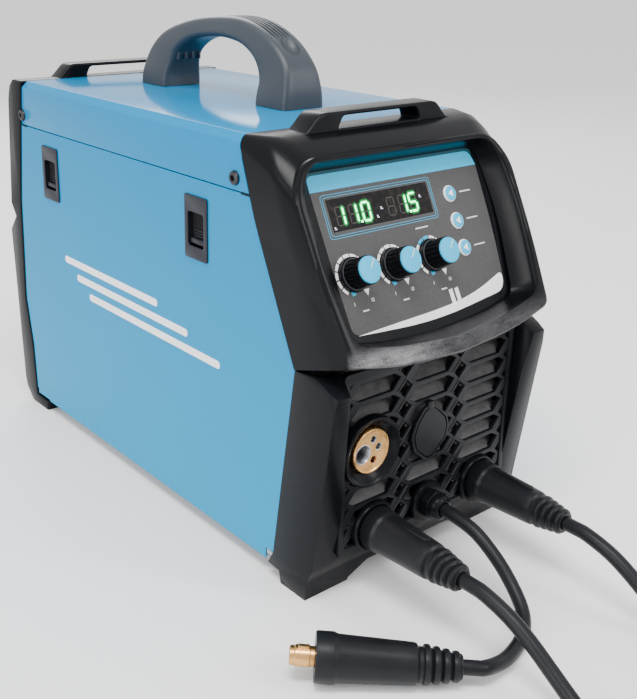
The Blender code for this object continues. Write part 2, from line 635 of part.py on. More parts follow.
def wire_feeder():
    """Cast plate with two pivot pins, the motor behind it, and the moving pieces of a two-roll drive."""
    near = BULKHEAD_X - 0.0015 - GAP
    plate_face = near - 0.0040
    outline = [(-0.1400, 0.0600), (-0.0350, 0.0600), (-0.0350, 0.1600), (-0.1400, 0.1600)]
    plate = prism("feeder_plate", outline, SIDE, plate_face, near, "aluminium")
    pins = [
        rod("arm_pin", SIDE, ARM_PIVOT, 0.0040, -0.0560, plate_face + 0.001, sides=12),
        rod("lever_pin", SIDE, LEVER_PIVOT, 0.0040, -0.0600, plate_face + 0.001, sides=12),
    ]
    join(plate, *pins)
    cut(plate, rod("plate_hole", SIDE, DRIVE_ROLL, 0.0056, -0.05, 0.0, sides=12))
    rod("feed_motor", SIDE, DRIVE_ROLL, 0.0240, BULKHEAD_X + GAP, BULKHEAD_X + 0.0650, "steel", 16)
    half = 0.0060
    low, high = WIRE_X - half, WIRE_X + half
    wide = DRIVE_ROLL_RADIUS
    roll = [(0.0050, near + 0.0016), (0.0050, high), (wide, high), (wide, WIRE_X + 0.0008),
            (wide - 0.0006, WIRE_X), (wide, WIRE_X - 0.0008), (wide, low),
            (0.0070, low), (0.0070, low - 0.0040), (0.0, low - 0.0040)]
    turned("drive_roll", [(0.0, near + 0.0016)] + roll, SIDE, DRIVE_ROLL, "steel", ROUND)
    ring = [(PRESSURE_ROLL_RADIUS, high), (PRESSURE_ROLL_RADIUS, low), (0.0038, low), (0.0038, high)]
    turned("pressure_roll", ring, SIDE, PRESSURE_ROLL, "steel", ROUND, closed=True)
    pressure_arm(high)
    tension_lever()


def pressure_arm(roll_face):
    far = roll_face + 0.0003
    outline = [(-0.0430, 0.1180), (-0.0430, 0.1300), (-0.0560, 0.1330), (-0.1150, 0.1322), (-0.1150, 0.1190),
               (-0.0560, 0.1150)]
    arm = prism("pressure_arm", outline, SIDE, far, far + 0.0055, "grey_plastic")
    block = box("arm_end", (LEVER_X - 0.0080, -0.1275, 0.1190), (LEVER_X + 0.0080, -0.1100, 0.1322))
    stub = rod("roll_stub", SIDE, PRESSURE_ROLL, 0.0034, -0.0700, far + 0.002, sides=12)
    slot = box("arm_slot", (LEVER_X - 0.0030, -0.1400, 0.1100), (LEVER_X + 0.0030, -0.1165, 0.1400))
    bore = rod("arm_bore", SIDE, ARM_PIVOT, 0.0043, -0.1, 0.0, sides=12)
    join(arm, block, stub)
    return cut(arm, slot, bore)


def tension_lever():
    y, z = LEVER_PIVOT
    low, high = LEVER_X - 0.0035, LEVER_X + 0.0035
    eye = rod("tension_lever", SIDE, LEVER_PIVOT, 0.0070, low, high, "black_plastic", 16)
    stem = rod("lever_stem", FLAT, (LEVER_X, y), 0.0022, z + 0.0055, 0.1500, sides=10)
    collar = rod("lever_collar", FLAT, (LEVER_X, y), 0.0035, 0.1350, 0.1480, sides=12)
    knob = rod("lever_knob", FLAT, (LEVER_X, y), 0.0085, 0.1460, 0.1660, sides=14)
    bore = rod("lever_bore", SIDE, LEVER_PIVOT, 0.0043, -0.1, 0.0, sides=12)
    join(eye, stem, collar, knob)
    return cut(eye, bore)


def wire_spool():
    """Spindle on the bulkhead, the wire spool on it and the nut that holds the spool."""
    near = BULKHEAD_X - 0.0015 - GAP
    spindle = [(0.0, near), (0.0340, near), (0.0340, -0.0365), (0.0250, -0.0365), (0.0250, -0.0860),
               (0.0120, -0.0860), (0.0120, -0.0970), (0.0, -0.0970)]
    turned("spool_spindle", spindle, SIDE, SPOOL, "black_plastic", ROUND)
    spool = [(SPOOL_RADIUS, -0.0370), (SPOOL_RADIUS, -0.0400), (0.0720, -0.0400), (0.0720, -0.0840),
             (SPOOL_RADIUS, -0.0840), (SPOOL_RADIUS, -0.0870), (0.0255, -0.0870), (0.0255, -0.0370)]
    turned("wire_spool", spool, SIDE, SPOOL, "steel", 28, closed=True)
    nut = [(0.0310, -0.0875), (0.0310, -0.0910), (0.0220, -0.0965), (0.0125, -0.0965), (0.0125, -0.0875)]
    turned("spool_nut", nut, SIDE, SPOOL, "grey_plastic", 16, closed=True)


# ---------------------------------------------------------------- electronics and rear


def electronics():
    """Heat sink with fins under the power board."""
    sink = box("heat_sink", (-0.0100, -0.0400, 0.1000), (0.0900, 0.1200, 0.1060), "aluminium")
    for k in range(7):
        x = -0.0080 + k * 0.0153
        join(sink, box("fin", (x, -0.0400, 0.0600), (x + 0.0020, 0.1200, 0.1030)))
    board = box("power_board", (-0.0120, -0.0550, 0.1120), (0.0950, 0.1500, 0.1136), "circuit_board")
    capacitors = [
        rod("capacitor", FLAT, (x, -0.0350), 0.0160, 0.1130, 0.1550, sides=14) for x in (0.0150, 0.0530)
    ]
    core = box("core", (0.0100, 0.0400, 0.1130), (0.0700, 0.1000, 0.1600))
    return join(board, core, *capacitors)


def fan():
    """Axial fan against the rear panel: a square housing, and the rotor on its hub."""
    near, far = REAR_PANEL_Y - 0.0020 - GAP, REAR_PANEL_Y - 0.0020 - 0.0250
    half = FAN_RADIUS + 0.0035
    outline = [(FAN[0] + sx * half, FAN[1] + sz * half) for sx, sz in ((-1, -1), (1, -1), (1, 1), (-1, 1))]
    housing = prism("fan_housing", outline, FRONT, -near, -far, "black_plastic")
    throat = rod("fan_throat", FRONT, FAN, FAN_RADIUS + 0.0010, -0.22, -0.15, sides=28)
    cut(housing, throat)
    mount = rod("fan_mount", FRONT, FAN, 0.0200, -far - 0.0040, -far, sides=16)
    struts = [
        box("strut_a", (FAN[0] - FAN_RADIUS - 0.002, far, FAN[1] - 0.0025),
            (FAN[0] + FAN_RADIUS + 0.002, far + 0.0030, FAN[1] + 0.0025)),
        box("strut_b", (FAN[0] - 0.0025, far, FAN[1] - FAN_RADIUS - 0.002),
            (FAN[0] + 0.0025, far + 0.0030, FAN[1] + FAN_RADIUS + 0.002)),
    ]
    join(housing, mount, *struts)
    rotor = rod("fan_rotor", FRONT, FAN, 0.0190, -near + 0.0020, -far - 0.0060, "black_plastic", 16)
    for k in range(7):
        join(rotor, fan_blade(k * math.tau / 7, (near + far) / 2 + 0.0018))


def fan_blade(angle, middle):
    """A pitched blade: a thin box tilted about its own span."""
    mesh = bpy.data.meshes.new("blade")
    work = bmesh.new()
    bmesh.ops.create_cube(work, size=1.0)
    bmesh.ops.scale(work, vec=(0.0320, 0.0016, 0.0240), verts=work.verts)
    work.to_mesh(mesh)
    work.free()
    tilt = Matrix.Rotation(math.radians(52), 4, "X")
    place = Matrix.Translation((FAN[0], middle, FAN[1])) @ Matrix.Rotation(angle, 4, "Y")
    return add("blade", mesh, None, place @ Matrix.Translation((0.0330, 0, 0)) @ tilt)


def rear_panel():
    """Rear panel with the fan's opening, the power switch, the mains gland and the gas inlet."""
    y = REAR_PANEL_Y
    panel = box("rear_panel", (-0.1000, y - 0.0020, 0.0135), (0.1000, y, 0.3020), "black_plastic")
    holes = [box("switch_hole", (SWITCH[0] - 0.0126, 0.18, SWITCH[1] - 0.0104),
                 (SWITCH[0] + 0.0126, 0.22, SWITCH[1] + 0.0104))]
    holes.append(rod("mains_hole", FRONT, MAINS, 0.0085, -0.25, -0.15))
    holes.append(rod("gas_hole", FRONT, GAS, 0.0060, -0.25, -0.15))
    for k in range(-4, 5):
        z = FAN[1] + 0.0105 * k
        reach = math.sqrt(FAN_RADIUS**2 - (0.0105 * k) ** 2) - 0.002
        holes.append(box("louvre", (FAN[0] - reach, 0.18, z - 0.0035), (FAN[0] + reach, 0.22, z + 0.0035)))
    cut(panel, *holes)
    gland = [(0.0, -y + 0.0150), (0.0082, -y + 0.0150), (0.0082, -y - GAP), (0.0125, -y - GAP),
             (0.0125, -y - 0.0060), (0.0100, -y - 0.0070), (0.0085, -y - 0.0220), (0.0050, -y - 0.0220),
             (0.0050, -y - 0.0020), (0.0, -y - 0.0020)]
    turned("mains_gland", gland, FRONT, MAINS, "black_plastic", ROUND)
    barb = [(0.0, -y + 0.0150), (0.0057, -y + 0.0150), (0.0057, -y - GAP), (0.0095, -y - GAP),
            (0.0095, -y - 0.0060), (0.0045, -y - 0.0060),
            (0.0045, -y - 0.0200), (0.0055, -y - 0.0210), (0.0045, -y - 0.0300),
            (0.0040, -REAR_END), (0.0020, -REAR_END), (0.0020, -y), (0.0, -y)]
    turned("gas_inlet", barb, FRONT, GAS, "brass", 14)


def power_switch():
    """Rocker switch: a flanged housing in the rear panel, and the rocker in its pocket, resting at off."""
    x, z = SWITCH
    y = REAR_PANEL_Y
    housing = box("switch_housing", (x - 0.0150, y + GAP, z - 0.0125), (x + 0.0150, y + 0.0030, z + 0.0125),
                  "black_plastic")
    body = box("switch_body", (x - 0.0122, y - 0.0150, z - 0.0100), (x + 0.0122, y + 0.0010, z + 0.0100))
    pocket = box("switch_pocket", (x - 0.0108, y - 0.0080, z - 0.0088), (x + 0.0108, y + 0.0100, z + 0.0088))
    cut(join(housing, body), pocket)
    level = [(0.0042, 0.0080), (0.0026, 0.0), (0.0042, -0.0080), (-0.0020, -0.0060), (-0.0040, 0.0),
             (-0.0020, 0.0060)]
    cosine, sine = math.cos(ROCKER_REST), math.sin(ROCKER_REST)
    tilted = [(y + a * cosine + b * sine, z + b * cosine - a * sine) for a, b in level]
    prism("switch_rocker", tilted, SIDE, x - 0.0105, x + 0.0105, "black_plastic")


# ---------------------------------------------------------------- leads

def coil(name, centre, tail):
    """A wound lead: one ring that holds its turns, with the end that leaves it for the tool."""
    low, high = COIL_MEAN - COIL_HALF, COIL_MEAN + COIL_HALF
    ring = [(high, COIL_HEIGHT - 0.003), (high, 0.003), (high - 0.003, 0.0002), (low + 0.003, 0.0002),
            (low, 0.003), (low, COIL_HEIGHT - 0.003), (low + 0.003, COIL_HEIGHT), (high - 0.003, COIL_HEIGHT)]
    wound = turned(name, ring, FLAT, centre, "black_rubber", 28, closed=True)
    end = as_mesh(tube(f"{name}_tail", tail, LEAD_RADIUS, None))
    return join(wound, end)


def leads():
    """The three leads: the polarity lead with its loose plug, and the two tool leads."""
    tube("polarity_lead", POLARITY_ROUTE, POLARITY_RADIUS, "black_rubber")
    loose_plug()
    tube("earth_lead", EARTH_ROUTE, LEAD_RADIUS, "black_rubber")
    tube("holder_lead", HOLDER_ROUTE, LEAD_RADIUS, "black_rubber")
    coil("earth_lead_coil", EARTH_COIL, EARTH_TAIL)
    coil("holder_lead_coil", HOLDER_COIL, HOLDER_TAIL)


def loose_plug():
    """The polarity lead's plug, lying on the floor: a rubber boot and its brass pin."""
    length = (LOOSE_TIP - LOOSE_END).length
    frame = Matrix.Translation(LOOSE_END) @ LOOSE_ALONG.to_track_quat("Z", "Y").to_matrix().to_4x4()
    pin_length = 0.0155
    boot_length = length - pin_length
    stretch = boot_length / BOOT[-1][1]
    profile = [(0.0, boot_length)] + [(r, h * stretch) for r, h in reversed(BOOT)]
    turned("polarity_plug", profile, frame, (0.0, 0.0), "black_rubber", ROUND)
    pin = [(0.0, length), (0.0058, length), (0.0065, length - 0.0010), (0.0065, boot_length + GAP),
           (0.0, boot_length + GAP)]
    turned("polarity_pin", pin, frame, (0.0, 0.0), "brass", 14)


def earth_clamp():
    """Spring clamp lying on its side: the jaw that holds the lead, and the jaw that opens."""
    x, rear = CLAMP_X, CLAMP_REAR
    pivot = (x, rear - 0.0850)
    low, high = 0.0020, 0.0260
    fixed = [(x + 0.0065, rear), (x - 0.0065, rear), (x - 0.0035, rear - 0.070), (x + 0.0006, rear - 0.079),
             (x + 0.0006, rear - 0.098), (x + 0.0050, rear - 0.120), (x + 0.0006, rear - 0.138),
             (x + 0.0030, rear - 0.150), (x + 0.0100, rear - 0.146), (x + 0.0180, rear - 0.118),
             (x + 0.0130, rear - 0.080), (x + 0.0080, rear - 0.050)]
    jaw = prism("clamp_fixed_jaw", fixed, FLAT, low, high, "steel")
    join(jaw, rod("clamp_barrel", FLAT, pivot, 0.0050, low, high, sides=14))
    moving = [(x - 0.0026, rear - 0.0780), (x - 0.0100, rear - 0.0660), (x - 0.0270, rear - 0.0050),
              (x - 0.0330, rear - 0.0080), (x - 0.0240, rear - 0.0550), (x - 0.0130, rear - 0.0800),
              (x - 0.0180, rear - 0.1180), (x - 0.0100, rear - 0.1460), (x - 0.0030, rear - 0.1500),
              (x - 0.0006, rear - 0.1380), (x - 0.0050, rear - 0.1200), (x - 0.0006, rear - 0.0980)]
    opening = prism("clamp_moving_jaw", moving, FLAT, low, high, "steel")
    return cut(opening, rod("clamp_recess", FLAT, pivot, 0.0056, low - 0.01, high + 0.01, sides=14))


def electrode_holder():
    """Stick electrode holder lying on the floor: handle and lower jaw, and the sprung lever on top."""
    x, rear, z = HOLDER_X, HOLDER_REAR, 0.0158
    grip = [(0.0, -rear + 0.118), (0.0130, -rear + 0.118), (0.0144, -rear + 0.100), (0.0130, -rear + 0.060),
            (0.0150, -rear + 0.010), (0.0120, -rear), (0.0, -rear)]
    turned("holder_body", grip, FRONT, (x, z), "black_plastic", 16)
    lower = [(rear - 0.110, z - 0.0120), (rear - 0.1550, z - 0.0120), (rear - 0.1800, z - 0.0030),
             (rear - 0.1800, z + 0.0010), (rear - 0.1180, z + 0.0030), (rear - 0.110, z + 0.0030)]
    join(bpy.data.objects["holder_body"], prism("lower_jaw", lower, SIDE, x - 0.0110, x + 0.0110))
    lever = [(rear - 0.1195, z + 0.0042), (rear - 0.1800, z + 0.0014), (rear - 0.1800, z + 0.0060),
             (rear - 0.1450, z + 0.0150), (rear - 0.1150, z + 0.0195), (rear - 0.0600, z + 0.0280),
             (rear - 0.0560, z + 0.0250), (rear - 0.0900, z + 0.0200), (rear - 0.1060, z + 0.0175),
             (rear - 0.1195, z + 0.0150)]
    return prism("holder_lever", lever, SIDE, x - 0.0100, x + 0.0100, "black_plastic")


def build():
    clear_scene()
    make_collections()
    for make in (
        casing_cover, side_door, hinge_rod, door_latches, base_tray, middle_bulkhead, carry_handle,
        front_bezel, rear_bezel, front_grille, euro_connector, port_cover, lead_gland, output_sockets,
        plugs, control_panel, knobs, buttons, wire_feeder, wire_spool, electronics, fan, rear_panel,
        power_switch, leads, earth_clamp, electrode_holder,
    ):
        make()


build()
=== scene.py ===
"""Looks of a portable inverter welding machine: finishes, fine shapes, leads, camera and light."""

import math

import bmesh
import bpy
from mathutils import Matrix, Vector


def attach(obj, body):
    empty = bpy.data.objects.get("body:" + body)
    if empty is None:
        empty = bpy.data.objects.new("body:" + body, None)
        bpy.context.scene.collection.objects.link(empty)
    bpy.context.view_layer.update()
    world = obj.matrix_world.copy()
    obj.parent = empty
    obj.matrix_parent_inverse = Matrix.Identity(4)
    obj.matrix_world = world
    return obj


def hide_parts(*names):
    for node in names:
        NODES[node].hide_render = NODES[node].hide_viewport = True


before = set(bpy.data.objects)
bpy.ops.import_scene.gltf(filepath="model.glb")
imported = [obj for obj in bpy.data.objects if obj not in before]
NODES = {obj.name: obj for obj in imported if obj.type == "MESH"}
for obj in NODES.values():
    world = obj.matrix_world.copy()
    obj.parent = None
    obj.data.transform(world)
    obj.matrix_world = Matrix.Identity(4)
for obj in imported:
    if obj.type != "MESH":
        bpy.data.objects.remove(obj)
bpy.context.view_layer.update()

# ---------------------------------------------------------------- driving sizes, in metres

HALF = 0.1038  # outer faces of the black end mouldings
GAP = 0.0003
GRILLE_FACE = -0.2185
FACE = -GRILLE_FACE  # the same face, in the front frame
EURO = (-0.0612, 0.1057)
PORT = (-0.0013, 0.1013)
SOCKET_X = 0.0535
SOCKET_Z = 0.0455
PLUG_FRONT = -0.2225
PLUG_LENGTH = 0.078
SPOOL = (0.0750, 0.1300)
LEAD = 0.0100  # diameters of the leads
POLARITY = 0.0095
ROUTE_STEP = 0.0040  # between the points of a lead's route

PANEL_TILT = math.radians(26.3)
PANEL_TOP = Vector((0.0, -0.1678, 0.2810))
KNOB_U = (-0.061, -0.024, 0.013)
KNOB_V = -0.067
BUTTON_U = 0.0467
BUTTON_V = (-0.0278, -0.0475, -0.0672)
RIM_TOP = Vector((0.0, -0.1803, 0.2926))
RIM_DOWN = Vector((0.0, -0.4632, -0.8862))
RIM_OUT = Vector((0.0, -0.8862, 0.4632))
RIM_MIDDLE = 0.062  # down the slope to the middle of the panel's well

SIDE = Matrix(((0, 0, 1, 0), (1, 0, 0, 0), (0, 1, 0, 0), (0, 0, 0, 1)))  # outline (y, z), along x
FRONT = Matrix(((1, 0, 0, 0), (0, 0, -1, 0), (0, 1, 0, 0), (0, 0, 0, 1)))  # outline (x, z), along -y
FLAT = Matrix.Identity(4)
PANEL = Matrix.Translation(PANEL_TOP) @ Matrix.Rotation(math.pi / 2 - PANEL_TILT, 4, "X")

# ---------------------------------------------------------------- finishes


class Field:
    """A value that varies over a surface: one socket, with arithmetic."""

    def __init__(self, finish, socket):
        self.finish, self.socket = finish, socket

    def _math(self, operation, first, second):
        return self.finish.node("ShaderNodeMath", {"operation": operation}, {0: first, 1: second})

    def __add__(self, other):
        return self._math("ADD", self, other)

    def __rsub__(self, other):
        return self._math("SUBTRACT", other, self)

    def __mul__(self, other):
        return self._math("MULTIPLY", self, other)

    __radd__ = __add__
    __rmul__ = __mul__


class Finish:
    """A material: one Principled shader and the fields that feed it."""

    def __init__(self, name, colour, roughness, metallic=0.0, **constants):
        self.material = bpy.data.materials.new(name)
        self.material.use_nodes = True
        self.tree = self.material.node_tree
        self.shader = self.tree.nodes["Principled BSDF"]
        self.set("Base Color", colour)
        self.set("Roughness", roughness)
        self.set("Metallic", metallic)
        for socket, value in constants.items():
            self.set(socket.replace("_", " ").title().replace("Ior", "IOR"), value)
        self.place = self.node("ShaderNodeTexCoord", {}, {}, "Object")

    def set(self, name, value):
        self._feed(self.shader.inputs[name], value)

    def _feed(self, socket, value):
        if isinstance(value, Field):
            self.tree.links.new(value.socket, socket)
        elif hasattr(socket.default_value, "__len__") and len(value) == 3 and len(socket.default_value) == 4:
            socket.default_value = (*value, 1.0)
        else:
            socket.default_value = value

    def node(self, kind, settings, sockets, output=0):
        made = self.tree.nodes.new(kind)
        for key, value in settings.items():
            setattr(made, key, value)
        for key, value in sockets.items():
            self._feed(made.inputs[key], value)
        return Field(self, made.outputs[output])

    def noise(self, scale, detail=3.0, roughness=0.5, place=None):
        place = place or self.place
        return self.node("ShaderNodeTexNoise", {}, {"Vector": place, "Scale": scale, "Detail": detail,
                                                    "Roughness": roughness})

    def stretched(self, scale):
        """The place on the surface, stretched along some axes."""
        return self.node("ShaderNodeVectorMath", {"operation": "MULTIPLY"}, {0: self.place, 1: scale})

    def part(self, axis):
        """One coordinate of the place."""
        return self.node("ShaderNodeSeparateXYZ", {}, {0: self.place}, axis)

    def band(self, value, low, high):
        """0 below low, 1 above high."""
        return self.node("ShaderNodeMapRange", {"clamp": True}, {0: value, 1: low, 2: high, 3: 0.0, 4: 1.0})

    def blend(self, socket, factor, first, second):
        """Feed a colour socket from one colour to another."""
        self.set(socket, self.node("ShaderNodeMix", {"data_type": "RGBA"}, {0: factor, 6: first, 7: second},
                                   2))

    def tint(self, factor, first, second):
        self.blend("Base Color", factor, first, second)

    def bump(self, height, distance, strength=1.0):
        self.set("Normal", self.node("ShaderNodeBump", {}, {"Strength": strength, "Distance": distance,
                                                            "Height": height}))


def black_moulding():
    """Glossy injection-moulded black plastic, a little scuffed."""
    f = Finish("black_moulding", (0.004, 0.004, 0.005), 0.3, specular_ior_level=0.11)
    cloud = f.noise(14.0, 4.0)
    scuff = f.band(f.noise(420.0, 6.0, 0.7, f.stretched((1.0, 0.5, 2.0))), 0.60, 0.74)
    f.tint(cloud, (0.0022, 0.0024, 0.0032), (0.0060, 0.0068, 0.0090))
    f.set("Roughness", 0.22 + 0.10 * cloud + 0.16 * scuff)
    f.bump(f.noise(2400.0, 2.0) * 0.5 + cloud * 0.5, 0.00006)
    return f.material


def worn_rim():
    """The nose's rim, where the black plastic has gone pale and speckled along the chin."""
    f = Finish("worn_rim", (0.004, 0.004, 0.005), 0.3, specular_ior_level=0.12)
    cloud = f.noise(16.0, 4.0)
    speck = f.noise(1500.0, 4.0, 0.75)
    streak = f.noise(60.0, 5.0, 0.65, f.stretched((1.0, 3.0, 3.0)))
    low = 1 - f.band(f.part("Z"), 0.178, 0.190)
    front = 1 - f.band(f.part("Y"), -0.2385, -0.2330)
    side = 1 - 0.80 * f.band(f.part("X"), -0.065, -0.015)
    chalk = low * front * side * f.band(0.85 * speck + 0.5 * streak, 0.48, 0.86)
    f.tint(chalk, (0.0035, 0.0038, 0.0048), (0.36, 0.36, 0.37))
    f.set("Roughness", 0.20 + 0.08 * cloud + 0.2 * chalk)
    f.bump(f.noise(2400.0, 2.0) * 0.5 + speck * 0.3, 0.00006)
    return f.material


def mottled(name, dark, pale, pattern, roughness, grain, depth, metallic=0.0, **constants):
    """Two shades clouded into each other; roughness is (lowest, spread), grain is the noise of the bump."""
    f = Finish(name, pale, roughness[0], metallic, **constants)
    cloud = f.noise(*pattern)
    f.tint(cloud, dark, pale)
    f.set("Roughness", roughness[0] + roughness[1] * cloud)
    f.bump(f.noise(*grain), depth)
    return f.material


def fin_grey():
    """Dusty grey of the louvres behind the grille."""
    f = Finish("fin_grey", (0.10, 0.10, 0.105), 0.5, specular_ior_level=0.35)
    dust = f.noise(180.0, 6.0, 0.7)
    f.tint(f.band(dust, 0.3, 0.7), (0.045, 0.045, 0.047), (0.085, 0.085, 0.087))
    f.set("Roughness", 0.40 + 0.25 * dust)
    f.bump(dust, 0.0001)
    return f.material


def blue_enamel():
    """Glossy blue powder coat with a fine orange peel, and painted shade that makes it darker towards the
    top.
    """
    f = Finish("blue_enamel", (0.0, 0.26, 0.50), 0.2, specular_ior_level=0.07)
    cloud = f.noise(5.0, 3.0)
    # Painted shade: the blue turns darker towards the top and lighter towards the bottom, with faint random
    # cloud.
    top_shade = f.band(f.part("Z"), 0.02, 0.30)
    f.tint(top_shade + 0.12 * cloud, (0.001, 0.270, 0.500), (0.0, 0.190, 0.405))
    f.set("Roughness", 0.09 + 0.05 * cloud + 0.06 * f.band(f.noise(700.0, 3.0), 0.62, 0.8))
    f.bump(f.noise(420.0, 2.0), 0.00004)
    return f.material


def grip_grey():
    """Dark blue-grey plastic of the carry handle."""
    f = Finish("grip_grey", (0.04, 0.05, 0.065), 0.4, specular_ior_level=0.4)
    cloud = f.noise(30.0, 4.0)
    grain = f.noise(1500.0, 4.0, 0.7)
    f.tint(cloud, (0.022, 0.028, 0.036), (0.034, 0.043, 0.054))
    f.set("Roughness", 0.28 + 0.16 * grain)
    f.bump(grain, 0.00014)
    return f.material


def lead_rubber():
    """Black rubber of leads and boots, with handling dust."""
    f = Finish("lead_rubber", (0.006, 0.007, 0.009), 0.4, specular_ior_level=0.2)
    cloud = f.noise(45.0, 5.0, 0.6)
    dust = f.band(f.noise(900.0, 5.0, 0.7), 0.58, 0.80)
    f.tint(0.6 * cloud + 0.4 * dust, (0.0030, 0.0036, 0.0048), (0.0160, 0.0175, 0.0215))
    f.set("Roughness", 0.26 + 0.22 * cloud)
    f.bump(f.noise(1400.0, 3.0) + cloud * 0.5, 0.0001)
    return f.material


def panel_print():
    """Printed film of the control panel: warm dark grey with fine metallic flakes."""
    f = Finish("panel_print", (0.10, 0.10, 0.095), 0.5, specular_ior_level=0.3)
    fleck = f.noise(1500.0, 6.0, 0.8)
    cloud = f.noise(25.0, 3.0)
    f.tint(f.band(fleck + 0.12 * cloud, 0.42, 0.72), (0.030, 0.029, 0.030), (0.078, 0.075, 0.075))
    f.set("Roughness", 0.46 + 0.14 * cloud)
    f.bump(fleck, 0.00004)
    return f.material


def plain_print(name, colour, roughness=0.45):
    """A printed or moulded plain colour with faint mottling."""
    pale = tuple(min(1.0, 1.08 * c) for c in colour)
    return mottled(name, tuple(0.90 * c for c in colour), pale, (220.0, 5.0, 0.7), (roughness - 0.06, 0.14),
                   (1600.0, 3.0), 0.00004, specular_ior_level=0.2)


def smoked_lens():
    """Dark display lens with faint brown patches of the parts behind it."""
    f = Finish("smoked_lens", (0.012, 0.011, 0.011), 0.12, specular_ior_level=0.2)
    smear = f.noise(90.0, 4.0)
    patch = f.band(f.noise(240.0, 2.0), 0.50, 0.70)
    f.tint(patch, (0.0045, 0.0042, 0.0046), (0.0170, 0.0125, 0.0110))
    f.set("Roughness", 0.10 + 0.14 * smear)
    f.bump(smear, 0.00003)
    return f.material


def lit_segment():
    """A display segment that is on: white-green in its middle."""
    f = Finish("lit_segment", (0.05, 0.9, 0.3), 0.4, emission_strength=7.0)
    f.blend("Emission Color", f.noise(900.0, 2.0), (0.16, 0.90, 0.30), (0.28, 1.0, 0.42))
    f.set("Roughness", 0.3 + 0.2 * f.noise(300.0))
    f.bump(f.noise(900.0), 0.00002)
    return f.material


def glow_halo(name, strength):
    """The green haze round the lit segments, on the inside of the lens."""
    f = Finish(name, (0.0, 0.05, 0.015), 0.3, emission_strength=strength, specular_ior_level=0.2)
    f.blend("Emission Color", f.noise(500.0, 2.0), (0.0, 0.80, 0.10), (0.0, 1.0, 0.16))
    f.set("Roughness", 0.2 + 0.2 * f.noise(300.0))
    f.bump(f.noise(900.0), 0.00002)
    return f.material


def turned_brass():
    """Lathe-turned brass, tarnished in patches."""
    f = Finish("turned_brass", (0.75, 0.40, 0.14), 0.25, 1.0)
    ring = f.noise(300.0, 5.0, 0.6)
    tarnish = f.band(f.noise(120.0, 5.0, 0.7), 0.45, 0.75)
    f.tint(tarnish, (0.74, 0.42, 0.155), (0.50, 0.25, 0.085))
    f.set("Roughness", 0.18 + 0.18 * ring + 0.10 * tarnish)
    f.bump(ring, 0.00006)
    return f.material


def copper_wire():
    """Copper-coated welding wire, wound on the spool in close turns, with painted shade between the turns
    and painted highlight along them.
    """
    f = Finish("copper_wire", (0.78, 0.42, 0.26), 0.3, 1.0)
    turns = f.node("ShaderNodeTexWave", {"bands_direction": "X"},
                   {"Vector": f.place, "Scale": 190.0, "Distortion": 0.4})
    # Painted shade and highlight: the wave darkens the colour between the turns and lightens it along them.
    f.tint(turns, (0.36, 0.18, 0.10), (0.86, 0.50, 0.32))
    f.set("Roughness", 0.24 + 0.1 * f.noise(300.0))
    f.bump(turns, 0.0004)
    return f.material


def board_green():
    """Circuit board lacquer with paler tracks."""
    f = Finish("board_green", (0.02, 0.16, 0.06), 0.4)
    tracks = f.band(f.noise(160.0, 1.0), 0.48, 0.52)
    f.tint(tracks, (0.012, 0.11, 0.045), (0.03, 0.20, 0.08))
    f.set("Roughness", 0.32 + 0.2 * f.noise(60.0))
    f.bump(tracks, 0.00003)
    return f.material


def floor_paper():
    """Pale matt studio paper."""
    f = Finish("floor_paper", (0.93, 0.93, 0.93), 0.75)
    f.set("Roughness", 0.70 + 0.1 * f.noise(3.0))
    return f.material


BLACK = black_moulding()
RIM = worn_rim()
# Black plastic of the grille and sockets, with a faint dry sheen
SATIN = mottled("satin_black", (0.0040, 0.0045, 0.0060), (0.0120, 0.0130, 0.0165), (60.0, 4.0), (0.30, 0.20),
                (1800.0, 3.0), 0.00007, specular_ior_level=0.16)
FIN = fin_grey()
BLUE = blue_enamel()
GRIP = grip_grey()
RUBBER = lead_rubber()
FILM = panel_print()
SKY = plain_print("light_blue_cap", (0.012, 0.40, 0.66))
TEAL = plain_print("dark_teal_print", (0.004, 0.060, 0.085))
WHITE = plain_print("white_print", (0.88, 0.88, 0.90))
MARK = plain_print("pale_mark", (0.62, 0.64, 0.66))
PALE = plain_print("pale_pilot", (0.75, 0.70, 0.95))
LENS = smoked_lens()
LIT = lit_segment()
HALO = glow_halo("glow_near", 0.8)
HAZE = glow_halo("glow_far", 0.22)
DIM = mottled("dim_segment", (0.026, 0.024, 0.022), (0.046, 0.040, 0.036), (800.0, 2.0), (0.3, 0.2),
              (900.0, 3.0), 0.00002, specular_ior_level=0.2)
BRASS = turned_brass()
STEEL = mottled("plated_steel", (0.42, 0.43, 0.45), (0.66, 0.67, 0.69), (70.0, 5.0, 0.6), (0.22, 0.24),
                (900.0, 3.0), 0.00005, 1.0)
SCREW = mottled("dark_screw", (0.018, 0.018, 0.020), (0.060, 0.060, 0.064), (500.0, 4.0), (0.28, 0.2),
                (500.0, 4.0), 0.00005, 0.8)
ALLOY = mottled("cast_aluminium", (0.60, 0.61, 0.63), (0.78, 0.79, 0.81), (700.0, 5.0, 0.7), (0.34, 0.2),
                (700.0, 5.0, 0.7), 0.0001, 1.0)
COPPER = copper_wire()
BOARD = board_green()
GREY = plain_print("grey_nylon", (0.045, 0.048, 0.054))
GRAPHITE = plain_print("graphite_nylon", (0.013, 0.015, 0.021), 0.38)
# Painted highlight: a lighter grey for the grille's thin ridges, standing in for light on their edges.
RIDGE_HIGHLIGHT = plain_print("painted_ridge_highlight", (0.05, 0.05, 0.053))
# Painted shade: a matt near-black for the space behind the grille, the latch pockets, the slits and the
# bottoms of the small socket holes; it also colours the latch sliders' bodies.
SHADE_BLACK = plain_print("painted_shade_black", (0.004, 0.004, 0.005), 0.8)

# ---------------------------------------------------------------- shaping


def link(name, data, place=FLAT):
    obj = bpy.data.objects.new(name, data)
    obj.matrix_world = place
    bpy.context.scene.collection.objects.link(obj)
    return obj


